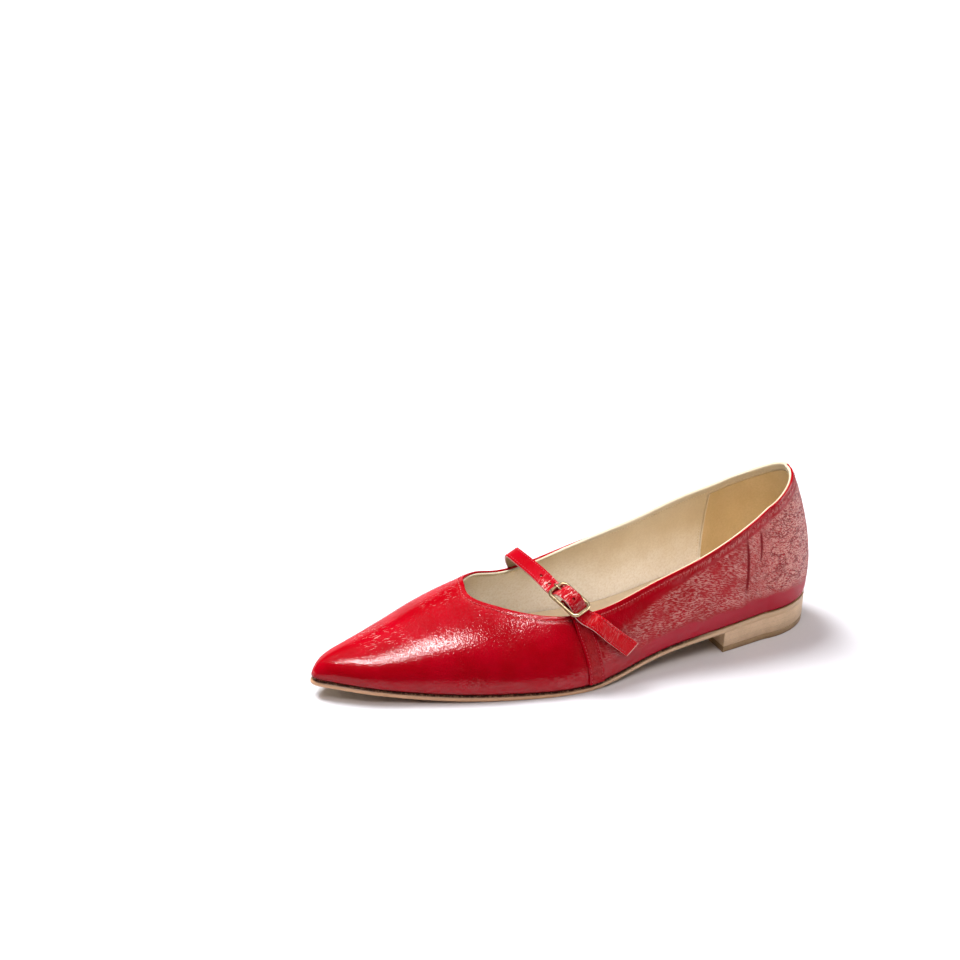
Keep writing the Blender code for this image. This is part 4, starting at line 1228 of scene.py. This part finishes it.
# Area lights that look back at the shoe: distance in metres, width and height as shares of it. Each is
# hidden from one kind of ray, so that highlights and soft light are lit apart.
LIGHTS = table(
    "name azimuth elevation roll distance width height radiance colour hidden_from",
    ("key_softbox", 66.5, 72.0, -37.0, 8.0, 0.53, 0.16, 48.0, WHITE, "diffuse"),
    ("front_fill", 75.0, 62.0, 0.0, 8.0, 0.60, 0.40, 6.0, (1.0, 0.84, 0.73), "glossy"),
    ("overhead", -62.0, 59.0, 0.0, 8.0, 0.46, 0.46, 33.0, (0.98, 1.0, 0.99), "glossy"),
    ("side_panel", 154.0, 14.0, 0.0, 5.0, 0.80, 0.50, 5.5, WHITE, "diffuse"),
    ("side_fill", 165.0, 50.0, 0.0, 8.0, 0.60, 0.40, 3.0, WHITE, "glossy"),
)


def direction(azimuth, elevation):
    a, e = radians(azimuth), radians(elevation)
    return Vector((sin(a) * cos(e), -cos(a) * cos(e), sin(e)))


def looking_back(item, azimuth, elevation, roll, distance, aim=(0.0, 0.0, 0.0)):
    """Link an item and set it at a distance from aim, in metres, looking back at it."""
    back = direction(azimuth, elevation)
    level = direction(azimuth + 90.0, 0.0)
    roll = radians(roll)
    right = level * cos(roll) + back.cross(level) * sin(roll)
    turn = Matrix((right, back.cross(right), back)).transposed().to_4x4()
    item.matrix_world = Matrix.Translation(Vector(aim) + back * distance) @ turn
    bpy.context.scene.collection.objects.link(item)


def build_camera():
    camera = bpy.data.objects.new("camera", bpy.data.cameras.new("camera"))
    looking_back(camera, CAMERA_AZIMUTH, CAMERA_ELEVATION, CAMERA_ROLL, CAMERA_DISTANCE * MM,
                 Vector(CAMERA_AIM) * MM)
    camera.data.lens = CAMERA_LENS
    camera.data.sensor_width = CAMERA_SENSOR
    camera.data.clip_end = CAMERA_REACH
    bpy.context.scene.camera = camera


def area_light(name, azimuth, elevation, roll, distance, width, height, radiance, colour, hidden_from):
    light = bpy.data.lights.new(name, "AREA")
    light.shape = "RECTANGLE"
    light.size = distance * width
    light.size_y = distance * height
    light.color = colour
    light.energy = radiance * light.size * light.size_y * pi
    item = bpy.data.objects.new(name, light)
    looking_back(item, azimuth, elevation, roll, distance)
    setattr(item, "visible_" + hidden_from, False)


def studio_world():
    """A dark studio with a soft ceiling and, low behind the shoe, a pale backdrop."""
    world = bpy.data.worlds.new("studio")
    world.use_nodes = True
    sky = Nodes(world.node_tree)
    where = sky.node("TexCoord", output="Generated")

    def near(azimuth, elevation, low, high):
        """0 to 1 as the cosine of the angle from a place on the sky goes from low to high."""
        cosine = sky.node("VectorMath", {0: where, 1: direction(azimuth, elevation)}, "Value",
                          operation="DOT_PRODUCT")
        return sky.fit(cosine, low, high)

    colour = sky.mix(near(-100.0, 80.0, 0.84, 0.95), DARK_STUDIO, CEILING)
    backdrop = sky.times(near(BACKDROP_AZIMUTH, 8.0, 0.80, 0.96),
                         near(BACKDROP_AZIMUTH, -90.0, -0.52, -0.34))
    background = world.node_tree.nodes["Background"].inputs
    sky.feed(background["Color"], sky.mix(backdrop, colour, BACKDROP))
    sky.feed(background["Strength"], 1.0)
    return world


def build_stage():
    scene = bpy.context.scene
    mesh = bpy.data.meshes.new("floor")
    corners = ((-1, -1), (1, -1), (1, 1), (-1, 1))
    mesh.from_pydata([(FLOOR_REACH * x, FLOOR_REACH * y, 0) for x, y in corners], [], [(0, 1, 2, 3)])
    mesh.materials.append(plain_floor("pale_floor"))
    floor = bpy.data.objects.new("floor", mesh)
    scene.collection.objects.link(floor)
    for row in LIGHTS:
        area_light(**row)
    scene.world = studio_world()
    scene.view_settings.view_transform = "Standard"


build_upper()
build_lining()
build_heel_grip()
build_topline_stitches()
build_bottom()
build_strap()
build_chape()
build_buckle()
build_stage()
build_camera()
